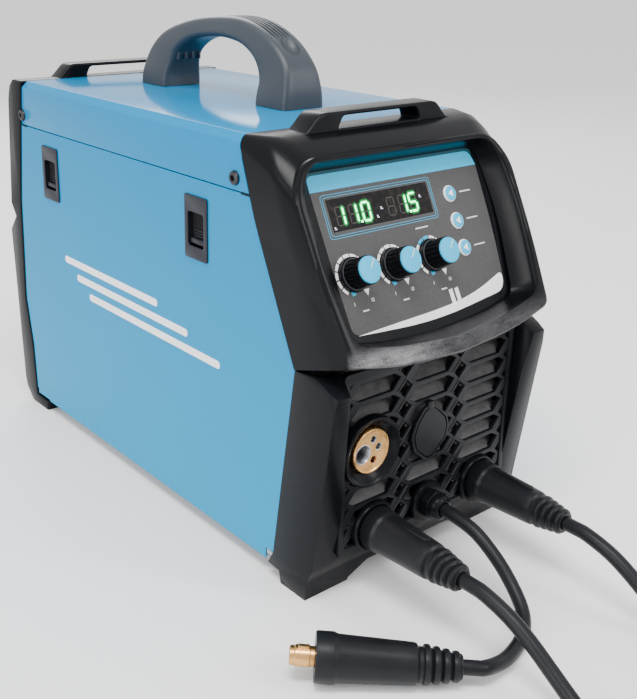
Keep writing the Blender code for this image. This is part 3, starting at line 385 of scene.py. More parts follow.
def from_bmesh(name, work):
    bmesh.ops.recalc_face_normals(work, faces=work.faces)
    mesh = bpy.data.meshes.new(name)
    work.to_mesh(mesh)
    work.free()
    return link(name, mesh)


def baked(obj):
    """The object with its modifiers applied and its placing moved into the mesh."""
    depsgraph = bpy.context.evaluated_depsgraph_get()
    mesh = bpy.data.meshes.new_from_object(obj.evaluated_get(depsgraph))
    mesh.transform(obj.matrix_world)
    name = obj.name
    bpy.data.objects.remove(obj, do_unlink=True)
    mesh.name = name
    return link(name, mesh)


def loft(name, loops, cap_first=False, cap_last=False, closed=True):
    """A skin through loops of equally many points."""
    work = bmesh.new()
    rows = [[work.verts.new(p) for p in loop] for loop in loops]
    for first, second in zip(rows, rows[1:]):
        count = len(first)
        for k in range(count if closed else count - 1):
            n = (k + 1) % count
            work.faces.new((first[k], first[n], second[n], second[k]))
    if cap_first:
        work.faces.new(list(reversed(rows[0])))
    if cap_last:
        work.faces.new(rows[-1])
    return from_bmesh(name, work)


def prism(name, outlines, place, low, high, bevel=0.0, segments=2):
    """Flat outlines, the later ones being holes, extruded along a frame's z axis with softened edges."""
    curve = bpy.data.curves.new(name, "CURVE")
    curve.dimensions = "2D"
    curve.fill_mode = "BOTH"
    curve.extrude = (high - low) / 2 - bevel
    curve.bevel_depth = bevel
    curve.bevel_resolution = segments
    curve.offset = -bevel
    for outline in outlines:
        spline = curve.splines.new("POLY")
        spline.points.add(len(outline) - 1)
        for point, (x, y) in zip(spline.points, outline):
            point.co = (x, y, 0.0, 1.0)
        spline.use_cyclic_u = True
    obj = baked(link(name, curve, place @ Matrix.Translation((0, 0, (low + high) / 2))))
    weld(obj)
    return obj


def weld(obj):
    work = bmesh.new()
    work.from_mesh(obj.data)
    bmesh.ops.remove_doubles(work, verts=work.verts, dist=1e-6)
    bmesh.ops.recalc_face_normals(work, faces=work.faces)
    work.to_mesh(obj.data)
    work.free()


def block(name, low, high, bevel=0.0):
    """A rectangular block with softened edges."""
    work = bmesh.new()
    bmesh.ops.create_cube(work, size=1.0)
    low, high = Vector(low), Vector(high)
    bmesh.ops.scale(work, vec=high - low, verts=work.verts)
    bmesh.ops.translate(work, vec=(low + high) / 2, verts=work.verts)
    if bevel:
        bmesh.ops.bevel(work, geom=list(work.edges), offset=bevel, segments=2, affect="EDGES", profile=0.5)
    return from_bmesh(name, work)


def turned(name, profile, place, at=(0.0, 0.0), steps=48, closed=False, wobble=None):
    """A turned shape about a frame's z axis, from (radius, height) points; wobble varies the radius."""
    work = bmesh.new()
    shift = place @ Matrix.Translation((at[0], at[1], 0.0))
    rows = []
    for k in range(steps):
        angle = math.tau * k / steps
        row = []
        for radius, height in profile:
            r = wobble(angle, radius, height) if wobble else radius
            row.append(work.verts.new(shift @ Vector((r * math.cos(angle), r * math.sin(angle), height))))
        rows.append(row)
    count = len(profile)
    for k in range(steps):
        first, second = rows[k], rows[(k + 1) % steps]
        for j in range(count if closed else count - 1):
            n = (j + 1) % count
            work.faces.new((first[j], first[n], second[n], second[j]))
    bmesh.ops.remove_doubles(work, verts=work.verts, dist=1e-7)
    return from_bmesh(name, work)


def rounded(corners, steps=5):
    """A closed outline with its corners rounded; each corner is (point, reach of its rounding)."""
    points = []
    count = len(corners)
    for k, (corner, reach) in enumerate(corners):
        here = Vector(corner)
        if not reach:
            points.append(here)
            continue
        before, after = Vector(corners[k - 1][0]), Vector(corners[(k + 1) % count][0])
        start = here + (before - here).normalized() * min(reach, (before - here).length * 0.48)
        stop = here + (after - here).normalized() * min(reach, (after - here).length * 0.48)
        for j in range(steps + 1):
            t = j / steps
            points.append(start * (1 - t) ** 2 + here * 2 * t * (1 - t) + stop * t * t)
    return points


def rectangle(x0, z0, x1, z1, reach=0.0, steps=5):
    corners = [((x0, z0), reach), ((x1, z0), reach), ((x1, z1), reach), ((x0, z1), reach)]
    return rounded(corners, steps)


def circle(centre, radius, steps=32):
    return [(centre[0] + radius * math.cos(math.tau * k / steps),
             centre[1] + radius * math.sin(math.tau * k / steps))
            for k in range(steps)]


def carve(obj, *cutters):
    """The object with every cutter taken out of it."""
    for cutter in cutters:
        modifier = obj.modifiers.new("carve", "BOOLEAN")
        modifier.operation = "DIFFERENCE"
        modifier.object = cutter
        modifier.solver = "EXACT"
    result = baked(obj)
    for cutter in cutters:
        bpy.data.objects.remove(cutter, do_unlink=True)
    return result


def soften(obj, width, segments=2, angle=30):
    """Rounded edges wherever two faces meet at more than an angle."""
    modifier = obj.modifiers.new("soften", "BEVEL")
    modifier.width = width
    modifier.segments = segments
    modifier.limit_method = "ANGLE"
    modifier.angle_limit = math.radians(angle)
    return baked(obj)


def joined(name, *objs):
    """Several loose shapes as one mesh, with the material slots of all."""
    work = bmesh.new()
    materials = []
    for obj in objs:
        shift = []
        for material in obj.data.materials:
            if material not in materials:
                materials.append(material)
            shift.append(materials.index(material))
        first = len(work.faces)
        work.from_mesh(obj.data)
        work.faces.ensure_lookup_table()
        for face in work.faces[first:]:
            face.material_index = shift[face.material_index]
        bpy.data.objects.remove(obj, do_unlink=True)
    mesh = bpy.data.meshes.new(name)
    work.to_mesh(mesh)
    work.free()
    for material in materials:
        mesh.materials.append(material)
    return link(name, mesh)


def coated(obj, finish):
    obj.data.materials.clear()
    obj.data.materials.append(finish)
    return obj


def settle(obj, finish, body, stands_for=(), angle=35):
    """Finish, shading, body and the CAD nodes that the piece stands for."""
    if finish:
        coated(obj, finish)
    obj.data.shade_smooth()
    obj.data.set_sharp_from_angle(angle=math.radians(angle))
    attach(obj, body)
    if stands_for:
        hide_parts(*stands_for)
    return obj


# ---------------------------------------------------------------- camera, light and floor

CAMERA_PLACE = Vector((-0.48582, -0.64121, 0.41799))
CAMERA_AZIMUTH = math.radians(-39.8335)
CAMERA_ELEVATION = math.radians(19.2158)
CAMERA_ROLL = math.radians(1.0158)
CAMERA_LENS = 51.83
CAMERA_SHIFT = (0.0463, -0.0730)
ROOM_LIGHT = 1.25  # strength of the white surroundings
FLOOR_HALF = 30.0


def camera():
    data = bpy.data.cameras.new("camera")
    data.lens = CAMERA_LENS
    data.shift_x, data.shift_y = CAMERA_SHIFT
    data.clip_start = 0.01
    back = Vector((math.sin(CAMERA_AZIMUTH) * math.cos(CAMERA_ELEVATION),
                   -math.cos(CAMERA_AZIMUTH) * math.cos(CAMERA_ELEVATION), math.sin(CAMERA_ELEVATION)))
    right = (-back).cross(Vector((0, 0, 1))).normalized()
    up = right.cross(-back)
    turn_right = right * math.cos(CAMERA_ROLL) + up * math.sin(CAMERA_ROLL)
    turn_up = up * math.cos(CAMERA_ROLL) - right * math.sin(CAMERA_ROLL)
    obj = link("camera", data)
    rotation = Matrix((turn_right, turn_up, back)).transposed().to_4x4()
    obj.matrix_world = Matrix.Translation(CAMERA_PLACE) @ rotation
    bpy.context.scene.camera = obj


def softbox(name, place, target, size, power):
    """A rectangular soft light at a place, turned to a target."""
    data = bpy.data.lights.new(name, "AREA")
    data.shape = "RECTANGLE"
    data.size, data.size_y = size
    data.energy = power
    obj = link(name, data)
    aim = (Vector(target) - Vector(place)).to_track_quat("-Z", "Y")
    obj.matrix_world = Matrix.Translation(place) @ aim.to_matrix().to_4x4()


def studio():
    world = bpy.data.worlds.new("studio")
    world.use_nodes = True
    background = world.node_tree.nodes["Background"]
    background.inputs["Color"].default_value = (1.0, 1.0, 1.0, 1.0)
    background.inputs["Strength"].default_value = ROOM_LIGHT
    bpy.context.scene.world = world
    softbox("top_softbox", (-0.5, -0.5, 1.6), (0, 0, 0.1), (0.9, 0.35), 24)
    softbox("left_softbox", (-1.6, -0.3, 0.7), (0, 0, 0.15), (0.22, 1.2), 12)
    softbox("front_softbox", (0.7, -1.5, 0.9), (0, -0.1, 0.15), (0.3, 0.9), 12)
    softbox("rear_softbox", (0.8, 1.5, 1.2), (0, 0, 0.2), (1.0, 0.8), 16)
    floor = link("floor", bpy.data.meshes.new("floor"))
    work = bmesh.new()
    bmesh.ops.create_grid(work, x_segments=1, y_segments=1, size=FLOOR_HALF)
    work.to_mesh(floor.data)
    work.free()
    coated(floor, floor_paper())


camera()
studio()

# ---------------------------------------------------------------- leads

POLARITY_ROUTE = [(0.0, GRILLE_FACE - 0.0183, SOCKET_Z), (0.0, -0.2440, SOCKET_Z), (0.0008, -0.2650, 0.0412),
                  (0.0004, -0.2850, 0.0305), (-0.0022, -0.3015, 0.0195), (-0.0088, -0.3165, 0.0105),
                  (-0.0215, -0.3270, 0.0058), (-0.0370, -0.3330, 0.0050), (-0.0550, -0.3370, 0.0072)]
LOOSE_END = Vector((-0.0830, -0.3290, 0.0124))
LOOSE_TIP = Vector((-0.1611, -0.2606, 0.0172))
LOOSE_ALONG = (LOOSE_TIP - LOOSE_END).normalized()
POLARITY_ROUTE += [LOOSE_END - LOOSE_ALONG * 0.0120, LOOSE_END - LOOSE_ALONG * GAP]
EARTH_ROUTE = [(-SOCKET_X, PLUG_FRONT - PLUG_LENGTH - GAP, SOCKET_Z), (-0.0535, -0.3150, SOCKET_Z),
               (-0.0535, -0.3370, 0.0400), (-0.0537, -0.3550, 0.0315), (-0.0545, -0.3730, 0.0210),
               (-0.0560, -0.3910, 0.0115), (-0.0585, -0.4090, 0.0060), (-0.0615, -0.4270, 0.0052),
               (-0.0640, -0.4372, 0.0052)]
HOLDER_ROUTE = [(SOCKET_X, PLUG_FRONT - PLUG_LENGTH - GAP, SOCKET_Z), (0.0535, -0.3150, SOCKET_Z),
                (0.0535, -0.3370, 0.0400), (0.0535, -0.3560, 0.0305), (0.0535, -0.3730, 0.0195),
                (0.0535, -0.3880, 0.0105), (0.0535, -0.4010, 0.0060), (0.0535, -0.4120, 0.0053)]
EARTH_COIL = Vector((-0.1200, -0.4800))
HOLDER_COIL = Vector((0.1075, -0.4550))
CLAMP_X, CLAMP_REAR = -0.0180, -0.4700
HOLDER_X, HOLDER_REAR = 0.0260, -0.4430
EARTH_TAIL = [(-0.0950, -0.4240, 0.0152), (-0.0700, -0.4230, 0.0158),
              (-0.0450, -0.4280, 0.0160), (-0.0260, -0.4410, 0.0150), (CLAMP_X, CLAMP_REAR + 0.0110, 0.0140),
              (CLAMP_X, CLAMP_REAR + GAP, 0.0140)]
HOLDER_TAIL = [(0.0850, -0.3985, 0.0165), (0.0620, -0.3990, 0.0180),
               (0.0430, -0.4050, 0.0180), (0.0310, -0.4160, 0.0168),
               (HOLDER_X, HOLDER_REAR + 0.0110, 0.0158),
               (HOLDER_X, HOLDER_REAR + GAP, 0.0158)]
OUTER_TURN, INNER_TURN, TOP_TURN = 0.0593, 0.0487, 0.0540
LOW_LAYER, TOP_LAYER = 0.0053, 0.0146
COIL_POINTS = 58
CURVE_STEPS = 24  # between two given points of a route


def step(value, low, high):
    """Smooth step from 0 to 1 between low and high."""
    t = min(1.0, max(0.0, (value - low) / (high - low)))
    return t * t * (3 - 2 * t)


def wound(centre, entry, way):
    """Nearly three turns: one outside, one inside it, then one on top that ends at the machine's side."""
    offset = Vector(entry[:2]) - centre
    start = math.atan2(offset.y, offset.x)
    sweep = (math.pi / 2 - start) * way % math.tau + 2 * math.tau
    laps = sweep / math.tau
    points = []
    for k in range(1, COIL_POINTS):
        t = laps * k / COIL_POINTS
        radius = offset.length + (OUTER_TURN - offset.length) * step(t, 0.0, 0.12)
        radius += (INNER_TURN - OUTER_TURN) * step(t, 0.93, 1.07)
        radius += (TOP_TURN - INNER_TURN) * step(t, 1.84, 2.0)
        height = LOW_LAYER + (TOP_LAYER - LOW_LAYER) * step(t, 1.84, 2.0)
        angle = start + way * t * math.tau
        points.append((centre.x + radius * math.cos(angle), centre.y + radius * math.sin(angle), height))
    return points


def smooth_route(points):
    """Evenly spaced points on a Catmull-Rom curve; the first and the last stretch stay straight."""
    route = [Vector(p) for p in points]
    fine = []
    for a, b, c, d in zip(route, route[1:], route[2:], route[3:]):
        for k in range(CURVE_STEPS):
            t = k / CURVE_STEPS
            fine.append(0.5 * (2 * b + (c - a) * t + (2 * a - 5 * b + 4 * c - d) * t * t
                               + (3 * b - 3 * c + d - a) * t**3))
    fine.append(route[-2])
    lengths = [0.0]
    for first, second in zip(fine, fine[1:]):
        lengths.append(lengths[-1] + (second - first).length)
    count = max(2, round(lengths[-1] / ROUTE_STEP))
    even, index = [], 0
    for k in range(count + 1):
        goal = lengths[-1] * k / count
        while index < len(fine) - 2 and lengths[index + 1] < goal:
            index += 1
        span = lengths[index + 1] - lengths[index]
        even.append(fine[index].lerp(fine[index + 1], min(1.0, max(0.0, (goal - lengths[index]) / span))))
    return [route[0]] + even + [route[-1]]


def cord_piece(name, points, diameter, nodes):
    """A lead as a round tube along its route, standing for its CAD solids."""
    curve = bpy.data.curves.new(name, "CURVE")
    curve.dimensions = "3D"
    curve.bevel_depth = diameter / 2
    curve.bevel_resolution = 5
    curve.use_fill_caps = True
    spline = curve.splines.new("POLY")
    route = smooth_route(points)
    spline.points.add(len(route) - 1)
    for point, place in zip(spline.points, route):
        point.co = (*place, 1.0)
    curve.materials.append(RUBBER)
    obj = link(name, curve)
    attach(obj, "machine")
    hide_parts(*nodes)
    return obj


def boot_profile():
    """A plug's boot as (radius, distance from its cable end): ribs, a waist, the long tapered body."""
    profile = [(0.0052, 0.0), (0.0072, 0.0), (0.0078, 0.0006)]
    for k in range(4):
        low = 0.0012 + 0.0052 * k
        radius = 0.0090 + 0.0009 * k
        profile += [(radius - 0.0014, low), (radius, low + 0.0008), (radius + 0.0003, low + 0.0022),
                    (radius, low + 0.0036), (radius - 0.0014, low + 0.0044)]
    profile += [(0.0104, 0.0232), (0.0122, 0.0246), (0.0125, 0.0262), (0.0127, 0.0300), (0.0142, 0.0655),
                (0.0145, 0.0668), (0.0152, 0.0680), (0.0153, 0.0690), (0.0153, 0.0770), (0.0149, 0.0780),
                (0.0070, 0.0780)]
    return profile


def plug_pieces():
    """The two plugs in the machine's sockets, with a raised key along the top of each body."""
    made = {}
    for name, x in (("earth_plug", -SOCKET_X), ("holder_plug", SOCKET_X)):
        tip = -PLUG_FRONT + PLUG_LENGTH
        boot = turned(f"{name}_boot", [(r, tip - a) for r, a in boot_profile()], FRONT, (x, SOCKET_Z), 56)
        key = block(f"{name}_key", (x - 0.0022, -tip + 0.0300, SOCKET_Z + 0.0115),
                    (x + 0.0022, -tip + 0.0640, SOCKET_Z + 0.0146), 0.0008)
        whole = joined(f"{name}_body", coated(boot, RUBBER), coated(key, RUBBER))
        made[name] = settle(whole, None, name, (name,))
    return made


def loose_plug():
    """The polarity lead's plug on the floor, its brass pin with the locking key."""
    length = (LOOSE_TIP - LOOSE_END).length
    place = Matrix.Translation(LOOSE_END) @ LOOSE_ALONG.to_track_quat("Z", "Y").to_matrix().to_4x4()
    pin_length = 0.0155
    boot_length = length - pin_length
    stretch = boot_length / PLUG_LENGTH
    boot = turned("polarity_boot", [(r, a * stretch) for r, a in boot_profile()], place, steps=56)
    settle(boot, RUBBER, "machine", ("polarity_plug",))
    root = boot_length + GAP
    profile = [(0.0, length), (0.0053, length), (0.0058, length - 0.0005), (0.0059, length - 0.0030),
               (0.0065, length - 0.0036), (0.0065, root + 0.0030), (0.0060, root + 0.0026), (0.0060, root),
               (0.0, root)]
    pin = turned("polarity_contact", profile, place, steps=40)
    key = block("contact_key", (-0.0016, 0.0050, length - 0.0120), (0.0016, 0.0076, length - 0.0050), 0.0004)
    key.data.transform(place)
    pin = joined("polarity_contact_pin", coated(pin, BRASS), coated(key, BRASS))
    settle(pin, None, "machine", ("polarity_pin",))
    return boot, pin


PLUGS = plug_pieces()
BOOT, PIN = loose_plug()


def leads():
    """The three leads along their routes."""
    clamp = [NODES["clamp_fixed_jaw"], NODES["clamp_moving_jaw"]]
    holder = [NODES["holder_body"], NODES["holder_lever"]]
    polarity = cord_piece("polarity_cord", POLARITY_ROUTE, POLARITY, ("polarity_lead",))
    earth_path = EARTH_ROUTE + wound(EARTH_COIL, EARTH_ROUTE[-1], -1) + EARTH_TAIL
    earth = cord_piece("earth_cord", earth_path, LEAD, ("earth_lead", "earth_lead_coil"))
    [PLUGS["earth_plug"]] + clamp
    holder_path = HOLDER_ROUTE + wound(HOLDER_COIL, HOLDER_ROUTE[-1], 1) + HOLDER_TAIL
    lead = cord_piece("holder_cord", holder_path, LEAD, ("holder_lead", "holder_lead_coil"))
    [PLUGS["holder_plug"]] + holder


leads()

# ---------------------------------------------------------------- front moulding


def on_rim(x, down, out):
    """A point from the rim plane's own place: across, down the slope and outward."""
    return Vector((x, 0, 0)) + RIM_TOP + RIM_DOWN * down + RIM_OUT * out


def mirrored(half):
    """A closed loop from its right half, given from the middle of the top to the middle of the bottom."""
    left = [(Vector((-p[0], p[1], p[2])), reach) for p, reach in reversed(half[1:-1])]
    return rounded([(Vector(p), reach) for p, reach in half] + left, 6)


def rim_loop(outline, out, inset=0.0):
    """A closed loop on the rim from (across, down, reach) corners, drawn in by the inset."""
    half = []
    for across, down, reach in outline:
        scale = 1 - inset / math.hypot(across, down - RIM_MIDDLE)
        half.append((on_rim(across * scale, RIM_MIDDLE + (down - RIM_MIDDLE) * scale, out), reach))
    return mirrored(half)


OUTER_RIM = [(0.0, -0.0050, 0.0), (0.0890, -0.0050, 0.014), (0.1026, 0.0180, 0.010), (0.1014, 0.0800, 0.020),
             (0.0966, 0.1272, 0.006), (0.0560, 0.1363, 0.030), (0.0, 0.1400, 0.0)]
INNER_RIM = [(0.0, 0.0, 0.0), (0.0815, 0.0, 0.008), (0.0915, 0.0110, 0.012), (0.0958, 0.0560, 0.030),
             (0.0880, 0.1155, 0.010), (0.0500, 0.1240, 0.030), (0.0, 0.1280, 0.0)]
WELL_FLOOR = [(0.0, 0.0020, 0.0), (0.0790, 0.0020, 0.006), (0.0860, 0.0110, 0.010), (0.0885, 0.0560, 0.030),
              (0.0790, 0.1130, 0.008), (0.0450, 0.1190, 0.030), (0.0, 0.1210, 0.0)]


def nose():
    """The upper half of the front moulding: flanks that run forward into a thick rim round a sunk panel."""
    rear = [((0, -0.1338, 0.3062), 0), ((0.1000, -0.1338, 0.3062), 0.004), ((HALF, -0.1345, 0.3000), 0.003),
            ((HALF, -0.1500, 0.2540), 0.010), ((HALF, -0.1925, 0.1640), 0.001),
            ((0.0560, -0.1950, 0.1640), 0.02),
            ((0, -0.1950, 0.1640), 0)]
    shoulder = [((0, -0.1545, 0.3060), 0), ((0.0945, -0.1545, 0.3060), 0.010),
                ((0.1034, -0.1620, 0.2920), 0.008),
                ((HALF, -0.1800, 0.2500), 0.020), ((0.1022, -0.2200, 0.1720), 0.003),
                ((0.0560, -0.2200, 0.1690), 0.03), ((0, -0.2200, 0.1680), 0)]
    flare = [((0, -0.1640, 0.3018), 0), ((0.0925, -0.1640, 0.3018), 0.012),
             ((0.1036, -0.1720, 0.2850), 0.009),
             ((0.1037, -0.1975, 0.2300), 0.020), ((0.0990, -0.2320, 0.1752), 0.005),
             ((0.0560, -0.2350, 0.1695), 0.03), ((0, -0.2362, 0.1668), 0)]
    loops = [mirrored([(Vector(p), r) for p, r in half]) for half in (rear, shoulder, flare)]
    loops += [rim_loop(OUTER_RIM, out, inset) for out, inset in (
        (-0.0050, 0.0), (-0.0022, 0.0004), (-0.0006, 0.0016), (0.0, 0.0034))]
    loops += [rim_loop(INNER_RIM, out, inset) for out, inset in (
        (-0.0002, -0.0022), (-0.0010, -0.0009), (-0.0026, -0.0002), (-0.0050, 0.0003))]
    loops.append(rim_loop(WELL_FLOOR, -0.0160))
    settle(loft("front_nose", loops), RIM, "machine", ("front_bezel",), 28)


def solid(name, near, far):
    """A solid between two faces of equally many corners."""
    return loft(name, [near, far], cap_first=True, cap_last=True)


def lower_block():
    """The lower half: two leaning cheeks beside the grille, a sill under it, and the front feet."""
    outline = [(-0.1929, 0.1640), (-0.2120, 0.1655), (-0.2185, 0.1640), (-0.2327, 0.1566), (-0.2157, 0.0270),
               (-0.2117, 0.0193), (-0.2091, 0.0138), (-0.2085, 0.0), (-0.1825, 0.0), (-0.1805, 0.0092),
               (-0.1714, 0.0096), (-0.1683, 0.0101), (-0.1738, 0.0200)]
    body = prism("front_block", [outline], SIDE, -HALF, HALF)
    hollow = block("hollow", (-0.1000, -0.2125, 0.0240), (0.1000, -0.10, 0.1700))
    window = [(-0.0830, 0.0300), (0.0830, 0.0300), (0.0990, 0.1700), (-0.0990, 0.1700)]
    back = [(-0.0830, 0.0300), (0.0830, 0.0300), (0.0860, 0.1700), (-0.0860, 0.1700)]
    taper = solid("window", [(x, -0.2500, z) for x, z in window], [(x, -0.2190, z) for x, z in back])
    through = solid("through", [(x, -0.2200, z) for x, z in back], [(x, -0.1500, z) for x, z in back])
    arch = [(-0.0680, -0.01), (0.0680, -0.01), (0.0640, 0.0020), (0.0460, 0.0098), (-0.0460, 0.0098),
            (-0.0640, 0.0020)]
    under = prism("under", [arch], FRONT, 0.15, 0.26)
    body = carve(body, hollow, taper, through, under)
    facets = []
    for side in (-1, 1):
        high = [(0.1045, -0.2400, 0.1580), (0.1045, -0.2180, 0.1700), (0.0950, -0.2400, 0.1700)]
        deep = [(0.1045, -0.2330, 0.1380), (0.1045, -0.2290, 0.1450), (0.1010, -0.2400, 0.1500)]
        facets.append(solid("facet", *[[(side * x, y, z) for x, y, z in face] for face in (high, deep)]))
    body = soften(carve(body, *facets), 0.0011)
    settle(body, BLACK, "machine")


def loop_handle(name, y_low, y_high):
    """A low strap loop on top of a moulding, with a rounded slot through it."""
    outline = [((-0.0690, 0.3040), 0.001), ((-0.0630, 0.3085), 0.006), ((-0.0560, 0.3160), 0.004),
               ((-0.0520, 0.3178), 0.003), ((0.0520, 0.3178), 0.003), ((0.0560, 0.3160), 0.004),
               ((0.0630, 0.3085), 0.006), ((0.0690, 0.3040), 0.001)]
    slot = [((-0.0385, 0.3064), 0.002), ((-0.0345, 0.3148), 0.003), ((0.0345, 0.3148), 0.003),
            ((0.0385, 0.3064), 0.002)]
    loop = prism(name, [rounded(outline, 4), rounded(slot, 4)], FRONT, -y_high, -y_low, 0.0016, 3)
    settle(loop, BLACK, "machine")


def rear_moulding():
    """The rear end: a frame round the rear panel, with its notch at the waist, and the rear feet."""
    outline = [(0.1778, 0.3062), (0.1935, 0.1988), (0.1978, 0.1050), (0.1893, 0.0600), (0.1868, 0.0101),
               (0.1640, 0.0094), (0.1660, 0.0), (0.1960, 0.0), (0.2085, 0.0120), (0.2107, 0.0200),
               (0.2128, 0.0566),
                (0.2176, 0.1682), (0.2061, 0.1821), (0.2136, 0.1928), (0.2040, 0.2900), (0.2000, 0.3010),
                (0.1940, 0.3062)]
    body = prism("rear_frame", [outline], SIDE, -HALF, HALF)
    hollow = block("hollow", (-0.1008, 0.15, 0.0130), (0.1008, 0.1988, 0.3032))
    window = prism("window", [rectangle(-0.0880, 0.0300, 0.0880, 0.2800, 0.010)], FRONT, -0.25, -0.15)
    under = block("under", (-0.0640, 0.13, -0.01), (0.0640, 0.25, 0.0094))
    body = soften(carve(body, hollow, window, under), 0.0014, 3)
    settle(body, BLACK, "machine", ("rear_bezel",))


nose()
lower_block()
loop_handle("front_loop", -0.1560, -0.1360)
loop_handle("rear_loop", 0.1790, 0.1960)
rear_moulding()

# ---------------------------------------------------------------- grille

ROW = 0.0154
ROWS = 9
LOW_ROW = 0.0400
COLUMN = 0.0545
CELL_HALF = 0.0060


def grille_cells():
    """Outlines of the openings: columns of stretched hexagons with lozenges between them."""
    low, high, edge = 0.0365, 0.1560, 0.0795
    cells = []
    for row in range(ROWS):
        z = LOW_ROW + ROW * row
        for column in (-1, 0, 1):
            cells.append([(COLUMN * column + x, z + dz) for x, dz in (
                (-0.0222, -0.0022), (-0.0155, -CELL_HALF), (0.0150, -CELL_HALF), (0.0222, 0.0022),
                (0.0155, CELL_HALF), (-0.0150, CELL_HALF))])
        for column in (-1.5, -0.5, 0.5, 1.5):
            x, mid = COLUMN * column, z + ROW / 2
            cells.append([(x - 0.0062, mid - 0.0012), (x - 0.0006, mid - 0.0062), (x + 0.0062, mid + 0.0012),
                          (x + 0.0006, mid + 0.0062)])
    kept = []
    for cell in cells:
        inside = clipped(cell, low, high, edge)
        if len(inside) > 2:
            kept.append(inside)
    return kept


def clipped(cell, low, high, edge):
    """An outline cut off at the grille's border."""
    for axis, limit, sign in ((1, low, 1), (1, high, -1), (0, -edge, 1), (0, edge, -1)):
        result = []
        for first, second in zip(cell, cell[1:] + cell[:1]):
            a, b = sign * (first[axis] - limit), sign * (second[axis] - limit)
            if a >= 0:
                result.append(first)
            if a * b < 0:
                t = a / (a - b)
                result.append((first[0] + (second[0] - first[0]) * t, first[1] + (second[1] - first[1]) * t))
        cell = result
        if len(cell) < 3:
            return []
    width = max(p[0] for p in cell) - min(p[0] for p in cell)
    height = max(p[1] for p in cell) - min(p[1] for p in cell)
    return cell if width > 0.002 and height > 0.0015 else []


def grille():
    """The cut plate with its raised border and thin ridges in painted highlight grey, the louvres behind it,
    and a black sheet of painted shade behind those.
    """
    outer = rectangle(-0.0845, 0.0312, 0.0845, 0.1640, 0.004)
    plate = prism("grille_plate", [outer] + grille_cells(), FRONT, FACE - 0.0040, FACE, 0.0004, 1)
    border = prism("grille_border", [outer, rectangle(-0.0800, 0.0360, 0.0800, 0.1565, 0.003)], FRONT,
                   FACE - 0.0030, FACE + 0.0010, 0.0005, 2)
    ridges = []
    for row in range(ROWS - 1):
        for column in (-0.5, 0.5):
            x, z = COLUMN * column, LOW_ROW + ROW * (row + 0.5)
            for away in (-1, 1):
                centre = Vector((x - away * 0.0036, z + away * 0.0032))
                along, across = Vector((0.0036, 0.0039)), Vector((-0.00022, 0.00020))
                line = [centre - along - across, centre + along - across, centre + along + across,
                        centre - along + across]
                # The ridges take the painted highlight grey.
                ridges.append(coated(prism("ridge", [line], FRONT, FACE - 0.0002, FACE + 0.0006), RIDGE_HIGHLIGHT))
    louvres = []
    for row in range(ROWS):
        z = LOW_ROW + ROW * row
        low, high = z - CELL_HALF - 0.0004, z - 0.0004
        front, back = GRILLE_FACE + 0.0020, GRILLE_FACE + 0.0100
        corners = [(front, low - 0.0010), (front, low), (back, high), (back, high - 0.0010)]
        for column in (-1, 0, 1):
            ends = [[(COLUMN * column + x, y, h) for y, h in corners] for x in (-0.0235, 0.0235)]
            louvres.append(coated(solid("louvre", *ends), FIN))
    whole = joined("grille_front", coated(plate, SATIN), coated(border, SATIN), *ridges)
    settle(whole, None, "machine", ("front_grille",), 30)
    fins = joined("grille_louvres", *louvres)
    settle(fins, None, "machine")
    # Painted shade: a black sheet behind the louvres for the dark inside of the machine.
    backing = block("grille_shade_backing", (-0.0990, GRILLE_FACE + 0.0135, 0.0140),
                    (0.0990, GRILLE_FACE + 0.0145, 0.1680))
    settle(backing, SHADE_BLACK, "machine")


grille()

# ---------------------------------------------------------------- carry handle

GROOVES = (-0.0090, -0.0045, 0.0, 0.0045, 0.0090)
GRIP_HALF = 0.0195
RINGS = 60  # cross-sections along the grip
# Stations of the grip from its rear foot to its front foot: outer line, inner line, depth of its grooves
STATIONS = [((0.1200, 0.3063), (0.0830, 0.3063), 0.0), ((0.1178, 0.3200), (0.0815, 0.3180), 0.0),
            ((0.1080, 0.3385), (0.0765, 0.3290), 0.0), ((0.0870, 0.3525), (0.0680, 0.3385), 0.0),
            ((0.0500, 0.3630), (0.0480, 0.3475), 1.0), ((0.0150, 0.3672), (0.0160, 0.3515), 1.0),
            ((-0.0120, 0.3672), (-0.0080, 0.3498), 1.0), ((-0.0360, 0.3615), (-0.0225, 0.3450), 1.0),
            ((-0.0570, 0.3510), (-0.0330, 0.3370), 0.0), ((-0.0715, 0.3370), (-0.0388, 0.3250), 0.0),
            ((-0.0762, 0.3220), (-0.0392, 0.3160), 0.0), ((-0.0768, 0.3063), (-0.0392, 0.3063), 0.0)]


def corner(across, depth, reach, start):
    """A quarter round of a cross-section, as (across, depth) points."""
    angles = [math.radians(start + 90 * k / 5) for k in range(6)]
    return [(across + reach * math.cos(a), depth + reach * math.sin(a)) for a in angles]


def grip_ring(outer, inner, groove):
    """A cross-section of the grip, wider towards its feet, with grooves along its outer side."""
    thick = (outer - inner).length
    reach = min(0.0048, thick * 0.35)
    half = GRIP_HALF - 0.0045 * step(outer.z, 0.3063, 0.3480)
    side = half - reach
    section = corner(-side, reach, reach, 180)
    for x in GROOVES:
        x *= half / GRIP_HALF
        section += [(x - 0.0012, 0.0), (x - 0.0008, 0.0018 * groove), (x + 0.0008, 0.0018 * groove),
                    (x + 0.0012, 0.0)]
    section += corner(side, reach, reach, 270) + corner(side, thick - reach, reach, 0)
    section += corner(-side, thick - reach, reach, 90)
    down = (inner - outer).normalized()
    return [Vector((x, 0, 0)) + outer + down * depth for x, depth in section]


